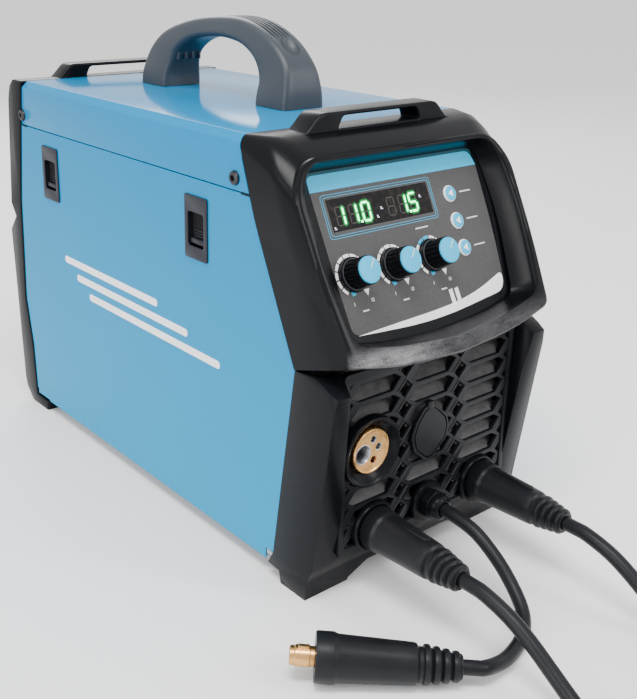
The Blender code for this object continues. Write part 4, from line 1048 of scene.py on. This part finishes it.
def blended(values, t):
    """A Catmull-Rom value along a list, at t from 0 to 1."""
    place = t * (len(values) - 1)
    k = min(int(place), len(values) - 2)
    f = place - k
    a, b, c, d = (values[min(max(j, 0), len(values) - 1)] for j in (k - 1, k, k + 1, k + 2))
    return 0.5 * (2 * b + (c - a) * f + (2 * a - 5 * b + 4 * c - d) * f * f + (3 * b - 3 * c + d - a) * f**3)


def carry_handle():
    """The arch grip, its oval dimple near the front and the stiffening fins inside its rear leg."""
    outer = [Vector((0, *s[0])) for s in STATIONS]
    inner = [Vector((0, *s[1])) for s in STATIONS]
    depth = [s[2] for s in STATIONS]
    rings = []
    for k in range(RINGS + 1):
        t = k / RINGS
        rings.append(grip_ring(blended(outer, t), blended(inner, t), min(1.0, max(0.0, blended(depth, t)))))
    grip = loft("grip_arch", rings, cap_first=True, cap_last=True)
    oval = Matrix.Translation((0.0, -0.0600, 0.3530)) @ Matrix.Rotation(math.radians(40), 4, "X")
    profile = [(0.0, -0.0075), (0.0040, -0.0068), (0.0068, -0.0040), (0.0078, 0.0), (0.0080, 0.0060),
               (0.0, 0.0060)]
    dimple = turned("dimple", profile, oval @ Matrix.Diagonal((1.05, 1.45, 1.0, 1.0)), steps=40)
    pieces = [coated(carve(grip, dimple), GRIP)]
    for x in (-0.0105, -0.0035, 0.0035, 0.0105):
        pieces.append(coated(block("fin", (x - 0.0008, 0.0725, 0.3290), (x + 0.0008, 0.0790, 0.3375),
                                   0.0003), GRIP))
    settle(joined("carry_grip", *pieces), None, "machine", ("carry_handle",), 40)


carry_handle()

# ---------------------------------------------------------------- control panel


def on_panel(name, outlines, low, high, finish):
    return coated(prism(name, outlines, PANEL, low, high), finish)


def panel_outline():
    """The sheet at the bottom of the well, as (across, up the slope)."""
    half = [(0.0850, 0.0), (0.0925, -0.010), (0.0945, -0.0560), (0.0860, -0.1120), (0.0510, -0.1185)]
    return half + [(0.0, -0.1240)] + [(-x, v) for x, v in reversed(half)]


def arc(centre, radius, start, stop, steps):
    return [(centre[0] + radius * math.cos(math.radians(start + (stop - start) * k / steps)),
             centre[1] + radius * math.sin(math.radians(start + (stop - start) * k / steps)))
            for k in range(steps + 1)]


def sector(centre, inner, outer, start, stop, steps=4):
    return arc(centre, outer, start, stop, steps) + arc(centre, inner, stop, start, steps)


def bar(u0, v0, u1, v1):
    return [(u0, v0), (u1, v0), (u1, v1), (u0, v1)]


PRINT = 0.00006  # thickness of one printed layer
LABEL = PRINT * 2  # thickness of the printed film
BUTTON_HOLE = 0.0062


def label_outline():
    """The printed film, with rounded lower corners and a bowed lower edge."""
    corners = [((-0.0772, -0.0100), 0.0), ((-0.0760, -0.0600), 0.0), ((-0.0738, -0.1048), 0.006),
               ((0.0, -0.1112), 0.05),
               ((0.0727, -0.1040), 0.008), ((0.0774, -0.0950), 0.01), ((0.0809, -0.0580), 0.02),
               ((0.0815, -0.0100), 0.0)]
    return rounded(corners)


def control_panel():
    """The metal sheet and its film, with the blue band, the white sweep and the knob scales."""
    holes = [circle((BUTTON_U, v), BUTTON_HOLE) for v in BUTTON_V]
    sheet = on_panel("sheet", [panel_outline()] + holes, -0.0020, 0.0, BLACK)
    film = on_panel("film", [label_outline()] + holes, 0.0, LABEL, FILM)
    print_top = LABEL + PRINT
    stripe = [((-0.0772, -0.0105), 0.0), ((-0.0772, 0.0004), 0.005), ((0.0780, 0.0004), 0.006),
              ((0.0815, -0.0105), 0.0)]
    stripe = on_panel("stripe", [rounded(stripe, 6)], 0.0, print_top, SKY)
    band = on_panel("band", [rectangle(-0.0800, -0.0040, 0.0800, 0.0075, 0.003)], -0.0004, LABEL, TEAL)
    sweep = [((-0.0700, -0.1056), 0.0), ((-0.0380, -0.1046), 0.02), ((0.0158, -0.1034), 0.03),
             ((0.0480, -0.0990), 0.03),
             ((0.0764, -0.0900), 0.004), ((0.0772, -0.0960), 0.004), ((0.0725, -0.1036), 0.006),
             ((0.0, -0.1108), 0.05)]
    sweep = on_panel("sweep", [rounded(sweep)], LABEL, print_top, WHITE)
    prints = [sheet, film, stripe, band, sweep]
    for u in (0.0205, 0.0262):
        slant = [(u, -0.1050), (u + 0.0036, -0.1042), (u + 0.0030, -0.0925), (u - 0.0006, -0.0930)]
        prints.append(on_panel("slant", [slant], LABEL, print_top + PRINT, WHITE))
    for reach in (0.0, 0.0016):
        frame_line = [rectangle(-0.0704 + reach, -0.0424 + reach, 0.0303 - reach, -0.0132 - reach, 0.0028),
                      rectangle(-0.0701 + reach, -0.0421 + reach, 0.0300 - reach, -0.0135 - reach, 0.0026)]
        prints.append(on_panel("window_line", frame_line, LABEL, print_top, SKY))
    prints += scales(LABEL, print_top)
    settle(joined("panel_sheet", *prints), None, "machine", ("control_panel",), 30)


def scales(low, high):
    """White segments round each knob, a blue start mark, a white wedge and a number at each end."""
    made = []
    for index, u in enumerate(KNOB_U):
        for k in range(8):
            start = 236 - 26.0 * k
            finish = SKY if index == 2 and k in (4, 5) else WHITE
            shape = sector((u, KNOB_V), 0.0119, 0.0140, start, start - 21.5)
            made.append(on_panel("segment", [shape], low, high, finish))
        made.append(on_panel("start", [[(u - 0.0052, -0.0778), (u - 0.0040, -0.0805), (u - 0.0010, -0.0798),
                                        (u - 0.0016, -0.0770)]], low, high, SKY))
        made.append(on_panel("wedge",
                             [[(u + 0.0060, -0.0778), (u + 0.0108, -0.0778), (u + 0.0086, -0.0822)]],
                             low, high, WHITE))
        made += numeral("1", (u - 0.0058, -0.0868), low, high, MARK)
        made += numeral("10", (u + 0.0092, -0.0868), low, high, MARK)
        made.append(on_panel("caption", [bar(u + 0.0006, -0.0918, u + 0.0060, -0.0907)], low, high, MARK))
    for v in BUTTON_V:
        made.append(on_panel("caption", [bar(0.0572, v - 0.0004, 0.0685, v + 0.0005)], low, high, MARK))
    made.append(on_panel("caption", [bar(0.0050, -0.0473, 0.0172, -0.0464)], low, high, MARK))
    return made


SEGMENTS = {  # bars of a seven-bar figure as (from, to) on a grid 1 wide and 2 high
    "a": ((0, 2), (1, 2)), "b": ((1, 2), (1, 1)), "c": ((1, 1), (1, 0)), "d": ((0, 0), (1, 0)),
    "e": ((0, 1), (0, 0)), "f": ((0, 2), (0, 1)), "g": ((0, 1), (1, 1)),
}
FIGURES = {"0": "abcdef", "1": "bc", "5": "acdfg"}
DIGIT_HIGH, DIGIT_WIDE, DIGIT_BASE = 0.0122, 0.0064, -0.0345
SLANT = 0.02  # of the figures
POINTS = (-0.0402, 0.0052)
DIGITS = [(-0.0544, "1"), (-0.0429, "1"), (-0.0314, "0"), (-0.0082, ""), (0.0026, "1"), (0.0127, "5")]
PILOTS = [(-0.0648, -0.0366), (-0.0212, -0.0290), (-0.0262, -0.0342), (0.0165, -0.0262)]


def numeral(text, at, low, high, finish):
    """Small plain numbers for a dial's ends, made of ones and noughts."""
    made = []
    for k, digit in enumerate(text):
        u, v = at[0] + 0.0019 * k, at[1]
        shapes = [bar(u + 0.0009, v, u + 0.0013, v + 0.0024)]
        if digit == "0":
            shapes = [rectangle(u, v, u + 0.0015, v + 0.0024, 0.0004),
                      rectangle(u + 0.0004, v + 0.0004, u + 0.0011, v + 0.0020, 0.0002)]
        made.append(on_panel("digit", shapes, low, high, finish))
    return made


def figure(bars, at, thick, grow, low, high, finish):
    """Bars of a seven-bar figure with pointed ends; grow widens them into a glow."""
    made = []
    for name in bars:
        (x0, z0), (x1, z1) = SEGMENTS[name]
        start = Vector((x0 * DIGIT_WIDE, z0 * DIGIT_HIGH / 2))
        stop = Vector((x1 * DIGIT_WIDE, z1 * DIGIT_HIGH / 2))
        along = (stop - start).normalized()
        across = Vector((-along.y, along.x)) * (thick / 2 + grow)
        a, b = start + along * (thick * 0.28 - grow), stop - along * (thick * 0.28 - grow)
        tip = along * (thick * 0.42 + grow * 0.7)
        outline = [a, a + tip + across, b - tip + across, b, b - tip - across, a + tip - across]
        shape = [(at[0] + p.x + SLANT * p.y, at[1] + p.y) for p in outline]
        made.append(on_panel("bar", [shape], low, high, finish))
    return made


def display():
    """The smoked lens, its lit bars with their glow, and the unlit ones."""
    low = LABEL + 0.00006
    lens = on_panel("display_lens", [rectangle(-0.0663, -0.0380, 0.0265, -0.0165, 0.0006)], -0.0020, low,
                    LENS)
    settle(lens, None, "machine", ("display_window",))
    lit, glow, dim = [], [], []
    for u, digit in DIGITS:
        bars = FIGURES.get(digit, "")
        at = (u - DIGIT_WIDE, DIGIT_BASE)
        lit += figure(bars, at, 0.0013, 0.0, low, low + 0.00012, LIT)
        glow += figure(bars, at, 0.0011, 0.0007, low, low + 0.00009, HALO)
        glow += figure(bars, at, 0.0011, 0.0016, low, low + 0.00006, HAZE)
        dim += figure([b for b in "abcdefg" if b not in bars], at, 0.0010, 0.0, low, low + 0.00003, DIM)
    for u in POINTS:
        lit.append(on_panel("point", [circle((u, DIGIT_BASE), 0.0009, 12)], low, low + 0.00012, LIT))
    for u, v in PILOTS:
        lit.append(on_panel("pilot", [bar(u, v, u + 0.0020, v + 0.0006)], low, low + 0.0001, PALE))
        lit.append(on_panel("pilot", [bar(u, v + 0.0009, u + 0.0012, v + 0.0018)], low, low + 0.0001, PALE))
    for name, pieces in (("display_lit_bars", lit), ("display_glow", glow), ("display_dim_bars", dim)):
        settle(joined(name, *pieces), None, "machine")


def knob_pieces():
    """Fluted black knobs, each with a light blue cap and a faint pointer line across it."""
    for name, u in zip(("left", "middle", "right"), KNOB_U):
        place = PANEL @ Matrix.Translation((u, KNOB_V, 0.0))

        def fluted(angle, radius, height):
            if not 0.0036 < height < 0.0160 or radius < 0.009:
                return radius
            return radius - 0.0010 * (1 - abs(math.sin(9 * angle)) ** 0.6)

        skirt = [(0.0, 0.0004), (0.0114, 0.0004), (0.0116, 0.0008), (0.0116, 0.0026), (0.0112, 0.0031),
                 (0.0104, 0.0033),
                 (0.0101, 0.0038), (0.0095, 0.0156), (0.0094, 0.0166), (0.0090, 0.0169), (0.0, 0.0169)]
        body = coated(turned("knob", skirt, place, steps=144, wobble=fluted), BLACK)
        cap = [(0.0, 0.0160), (0.0087, 0.0160), (0.0088, 0.0165), (0.0088, 0.0178), (0.0085, 0.0183),
               (0.0080, 0.0184),
               (0.0, 0.0184)]
        trim = [(0.0101, 0.0032), (0.0106, 0.0033), (0.0106, 0.0036), (0.0101, 0.0038)]
        top = coated(turned("cap", cap, place, steps=64), SKY)
        line = block("line", (-0.00035, 0.0010, 0.01838), (0.00035, 0.0082, 0.01852), 0.00005)
        line.data.transform(place @ Matrix.Rotation(math.radians(-38), 4, "Z"))
        ring = coated(turned("trim", trim, place, steps=64, closed=True), GREY)
        whole = joined(f"knob_{name}_piece", body, top, ring, coated(line, MARK))
        settle(whole, None, f"knob_{name}", (f"knob_{name}",), 30)


def button_pieces():
    """Round light blue buttons with a pale ring and a triangle."""
    for name, v in zip(("top", "middle", "bottom"), BUTTON_V):
        place = PANEL @ Matrix.Translation((BUTTON_U, v, 0.0))
        dome = [(0.0, 0.0018), (0.0044, 0.0018), (0.0050, 0.0016), (0.0057, 0.0008), (0.0058, 0.0002),
                (0.0058, -0.0040),
                (0.0, -0.0040)]
        body = coated(turned("dome", dome, place, steps=48), SKY)
        ring = coated(turned("ring", [(0.0052, 0.0016), (0.0059, 0.0008), (0.00605, 0.0003),
                                      (0.0050, 0.0001)], place,
                             steps=48, closed=True), WHITE)
        arrow = prism("arrow", [[(-0.0026, 0.0), (0.0016, 0.0026), (0.0016, -0.0026)]], place, 0.0017,
                      0.0020)
        whole = joined(f"button_{name}_piece", body, ring, coated(arrow, WHITE))
        settle(whole, None, f"button_{name}", (f"button_{name}",), 30)


control_panel()
display()
knob_pieces()
button_pieces()

# ---------------------------------------------------------------- sockets


def facing(profile):
    """A turned profile whose heights are measured from the front face."""
    return [(radius, FACE + height) for radius, height in profile]


def torch_socket():
    """The dished black cup, and the brass block with a steel-lined wire hole and three small ones."""
    cup = facing([(0.0172, -0.0120), (0.0172, 0.0020), (0.0186, 0.0026), (0.0216, 0.0056), (0.0226, 0.0068),
                  (0.0238, 0.0072), (0.0247, 0.0066), (0.0250, 0.0056), (0.0252, 0.0002), (0.0214, 0.0002),
                  (0.0214, -0.0140), (0.0190, -0.0140)])
    settle(turned("torch_cup", cup, FRONT, EURO, 72, closed=True), BLACK, "machine",
           ("euro_socket_housing",), 40)
    top = FACE + 0.0042  # the brass stands this far out
    face = [(0.0, top), (0.0140, top), (0.0145, top + 0.0005), (0.0153, top + 0.0007),
            (0.0160, top + 0.0001),
            (0.0163, top - 0.0010), (0.0165, top - 0.0030), (0.0166, FACE - 0.0280), (0.0, FACE - 0.0280)]
    brass = turned("brass", face, FRONT, EURO, 72)
    wire_hole = (EURO[0] - 0.0076, EURO[1] - 0.0004)
    small = ((0.0016, 0.0080, STEEL), (0.0066, 0.0014, STEEL), (0.0022, -0.0070, COPPER))
    holes = [prism("hole", [circle(wire_hole, 0.0069, 48)], FRONT, FACE - 0.0200, FACE + 0.01)]
    for x, z, _ in small:
        holes.append(prism("hole", [circle((EURO[0] + x, EURO[1] + z), 0.0028, 32)], FRONT, FACE - 0.0120,
                           FACE + 0.01))
    pieces = [coated(carve(brass, *holes), BRASS)]
    sleeve = [(0.0070, top + 0.0002), (0.0066, top + 0.0003), (0.0061, top - 0.0004), (0.0058, top - 0.0100),
              (0.0040, top - 0.0110), (0.0040, FACE - 0.0180), (0.0070, FACE - 0.0180)]
    pieces.append(coated(turned("liner", sleeve, FRONT, wire_hole, 48, closed=True), STEEL))
    for x, z, metal in small:
        ring = [(0.0028, top - 0.0002), (0.0023, top - 0.0004), (0.0021, top - 0.0060),
                (0.0029, top - 0.0060)]
        pin = [(0.0, top - 0.0022), (0.0008, top - 0.0024), (0.0011, top - 0.0032), (0.0011, FACE - 0.0110)]
        at = EURO[0] + x, EURO[1] + z
        pieces.append(coated(turned("ring", ring, FRONT, at, 24, closed=True), metal))
        pieces.append(coated(turned("pin", pin, FRONT, at, 16), metal))
        # Painted shade: a black disc near the bottom of each small hole.
        pieces.append(coated(turned("end", [(0.0, top - 0.0100), (0.0029, top - 0.0100)], FRONT, at, 16),
                             SHADE_BLACK))
    settle(joined("torch_brass", *pieces), None, "machine", ("euro_connector",), 35)


LEAF = [(-0.0015, 0.0225), (0.0050, 0.0182), (0.0154, 0.0085), (0.0179, 0.0006), (0.0164, -0.0092),
        (0.0078, -0.0167),
        (0.0010, -0.0224), (-0.0045, -0.0217), (-0.0168, -0.0111), (-0.0199, 0.0007), (-0.0164, 0.0102),
        (-0.0092, 0.0198)]


def leaf(shrink):
    """The outline of the port's flap, drawn in by a share of its size."""
    corners = [((PORT[0] + x * (1 - shrink), PORT[1] + z * (1 - shrink)), 0.0020) for x, z in LEAF]
    return rounded(corners, 6)


def port_flap():
    """The rubber flap over the control port: a rim, a flat field inside it and the tab at its top."""
    rim = prism("rim", [leaf(0.0)], FRONT, FACE + GAP, FACE + 0.0030, 0.0008, 3)
    groove = prism("groove", [leaf(0.10), leaf(0.16)], FRONT, FACE + 0.0014, FACE + 0.0040)
    rim = carve(rim, groove)
    tab = prism("tab",
                [rectangle(PORT[0] - 0.0058, PORT[1] + 0.0180, PORT[0] + 0.0004, PORT[1] + 0.0240, 0.002)],
                FRONT,
                FACE + GAP, FACE + 0.0036, 0.0008, 2)
    plug = turned("plug", facing([(0.0, -0.0030), (0.0095, -0.0030), (0.0095, 0.0010)]), FRONT, PORT, 32)
    whole = joined("port_flap", *[coated(o, SATIN) for o in (rim, tab, plug)])
    settle(whole, None, "port_cover", ("port_cover",), 40)


def gland():
    """Flange, hexagon nut with softened corners, and the dome that grips the polarity lead."""
    at = 0.0, SOCKET_Z
    flange = facing([(0.0, 0.0035), (0.0140, 0.0035), (0.0151, 0.0031), (0.0155, 0.0022), (0.0155, 0.0002),
                     (0.0125, 0.0002), (0.0125, -0.0140), (0.0, -0.0140)])
    settle(turned("gland_flange", flange, FRONT, at, 56), BLACK, "machine",
           ("lead_gland",), 30)
    hexagon = [(at[0] + 0.0112 * math.cos(math.radians(60 * k + 30)),
                at[1] + 0.0112 * math.sin(math.radians(60 * k + 30)))
               for k in range(6)]
    nut = coated(prism("nut", [hexagon], FRONT, FACE + 0.0038, FACE + 0.0108, 0.0007, 3), BLACK)
    dome = facing([(0.0096, 0.0100), (0.0097, 0.0125), (0.0094, 0.0150), (0.0086, 0.0168), (0.0073, 0.0179),
                   (0.0056, 0.0182), (0.0050, 0.0176), (0.0049, 0.0120)])
    cap = coated(turned("dome", dome, FRONT, at, 56), BLACK)
    settle(joined("gland_cap", nut, cap), None, "machine", ("gland_nut",), 35)


def output_sockets():
    """The two twist-lock panel sockets that the plugs sit in."""
    for name, x in (("left", -SOCKET_X), ("right", SOCKET_X)):
        body = facing([(0.0158, 0.0036), (0.0168, 0.0042), (0.0178, 0.0040), (0.0184, 0.0030),
                       (0.0186, 0.0014), (0.0186, 0.0002), (0.0125, 0.0002), (0.0125, -0.0260),
                       (0.0070, -0.0260), (0.0070, 0.0032)])
        piece = turned(f"output_socket_{name}_piece", body, FRONT, (x, SOCKET_Z), 64, closed=True)
        settle(piece, BLACK, "machine", (f"output_socket_{name}",), 30)


torch_socket()
port_flap()
gland()
output_sockets()

# ---------------------------------------------------------------- casing details

COVER_FACE = 0.1025
SCREW_Y, SCREW_Z = (-0.1280, 0.1795), 0.2770
SLIT_Y = (-0.1390, 0.1765)
LATCHES = (("front", -0.0840), ("rear", 0.1317))
LATCH_LOW, LATCH_HIGH = 0.2109, 0.2565
STRIPES = ((0.1150, -0.0300, 0.1600), (0.0950, -0.0700, 0.1480), (0.0750, -0.1100, 0.1360))
STRIPE_HIGH = 0.0060


def latches():
    """Slide latches sunk in the door: a rounded frame, a pocket floored with painted shade and a ridged
    slider.
    """
    low, high = LATCH_LOW, LATCH_HIGH
    for name, y in LATCHES:
        rim = prism("rim", [rectangle(y - 0.0135, low, y + 0.0135, high, 0.0020), rectangle(
            y - 0.0094, low + 0.0092, y + 0.0094, high - 0.0118, 0.0026)], SIDE, -0.1039, -0.1028, 0.0004, 2)
        wall = prism("wall", [rectangle(y - 0.0110, low + 0.0030, y + 0.0110, high - 0.0030), rectangle(
            y - 0.0096, low + 0.0046, y + 0.0096, high - 0.0046)], SIDE, -0.1030, -0.0975)
        # Painted shade: a black floor in the latch pocket.
        floor = block("floor", (-0.0978, y - 0.0110, low + 0.0030), (-0.0968, y + 0.0110, high - 0.0030))
        whole = joined(f"latch_{name}_frame", coated(rim, GRAPHITE), coated(wall, SATIN),
                       coated(floor, SHADE_BLACK))
        settle(whole, None, "side_door", (f"latch_frame_{name}",), 30)
        slider = block("slider", (-0.1000, y - 0.0088, low + 0.0108), (-0.0980, y + 0.0088, high - 0.0056),
                       0.0005)
        pull = block("pull", (-0.1026, y - 0.0078, low + 0.0110), (-0.0990, y + 0.0078, low + 0.0146),
                     0.0006)
        ribs = [coated(block("rib", (-0.1008, y - 0.0070, low + 0.0160 + 0.0020 * k),
                             (-0.0996, y + 0.0070, low + 0.0168 + 0.0020 * k), 0.0003),
                       GRAPHITE) for k in range(3)]
        # The slider's body is coloured with the painted shade black too.
        piece = joined(f"latch_{name}_slider", coated(slider, SHADE_BLACK), coated(pull, GRAPHITE), *ribs)
        settle(piece, None, f"latch_slider_{name}", (f"latch_slider_{name}",), 30)


def screws():
    """Hexagon socket screws that hold the cover, two on each side, with a slit under each, drawn as a thin
    block of painted shade.
    """
    made = []
    for side in (-1, 1):
        for y in SCREW_Y:
            turn = Matrix.Rotation(side * math.pi / 2, 4, "Y")
            place = Matrix.Translation((side * COVER_FACE, y, SCREW_Z)) @ turn
            head = [(0.0, 0.0006), (0.0019, 0.0006), (0.0021, 0.0023), (0.0036, 0.0023), (0.0045, 0.0017),
                    (0.0049, 0.0006), (0.0049, -0.0002)]
            made.append(coated(turned("head", head, place, steps=32), SCREW))
        for y in SLIT_Y:
            # Painted shade: each slit is a thin black block.
            slit = block("slit", (-0.0003, y - 0.0045, 0.2675), (0.0003, y + 0.0045, 0.2689))
            slit.data.transform(Matrix.Translation((side * COVER_FACE, 0, 0)))
            made.append(coated(slit, SHADE_BLACK))
    settle(joined("cover_screws", *made), None, "machine", angle=30)


def side_stripes():
    """Three plain white bars printed on the door."""
    made = []
    for rear, front, z in STRIPES:
        stripe = prism("bar", [rectangle(front, z, rear, z + STRIPE_HIGH, 0.0029)], SIDE, -0.10262, -0.10248)
        made.append(coated(stripe, WHITE))
    settle(joined("door_stripes", *made), None, "side_door")


def cover():
    """The sheet cover with its folds rounded."""
    shell = baked(link("cover_sheet", NODES["casing_cover"].data.copy(), NODES["casing_cover"].matrix_world))
    weld(shell)
    work = bmesh.new()
    work.from_mesh(shell.data)
    bmesh.ops.dissolve_limit(work, angle_limit=math.radians(2), verts=work.verts, edges=work.edges)
    work.to_mesh(shell.data)
    work.free()
    settle(soften(shell, 0.0021, 4, 20), BLUE, "machine", ("casing_cover",), 40)


def winding():
    """The welding wire wound between the spool's flanges."""
    profile = [(0.0725, -0.0838), (0.0905, -0.0838), (0.0915, -0.0700), (0.0905, -0.0402), (0.0725, -0.0402)]
    piece = turned("spool_winding", profile, SIDE, SPOOL, 96, closed=True)
    settle(piece, COPPER, "wire_spool")


latches()
screws()
side_stripes()
cover()
winding()
NODES["side_door"].data.materials[0] = BLUE
CARRIED = {
    STEEL: ("base_tray", "hinge_rod", "middle_bulkhead", "drive_roll", "pressure_roll", "feed_motor",
            "clamp_fixed_jaw",
            "clamp_moving_jaw", "wire_spool"),
    ALLOY: ("feeder_plate", "heat_sink"),
    BOARD: ("control_board", "power_board"),
    SATIN: ("spool_spindle", "fan_housing", "fan_rotor", "rear_panel", "switch_housing", "switch_rocker",
            "mains_gland",
            "holder_body", "holder_lever", "tension_lever"),
    GREY: ("pressure_arm", "spool_nut"),
    BRASS: ("gas_inlet",),
}
for finish, nodes in CARRIED.items():
    for node in nodes:
        NODES[node].data.materials[0] = finish
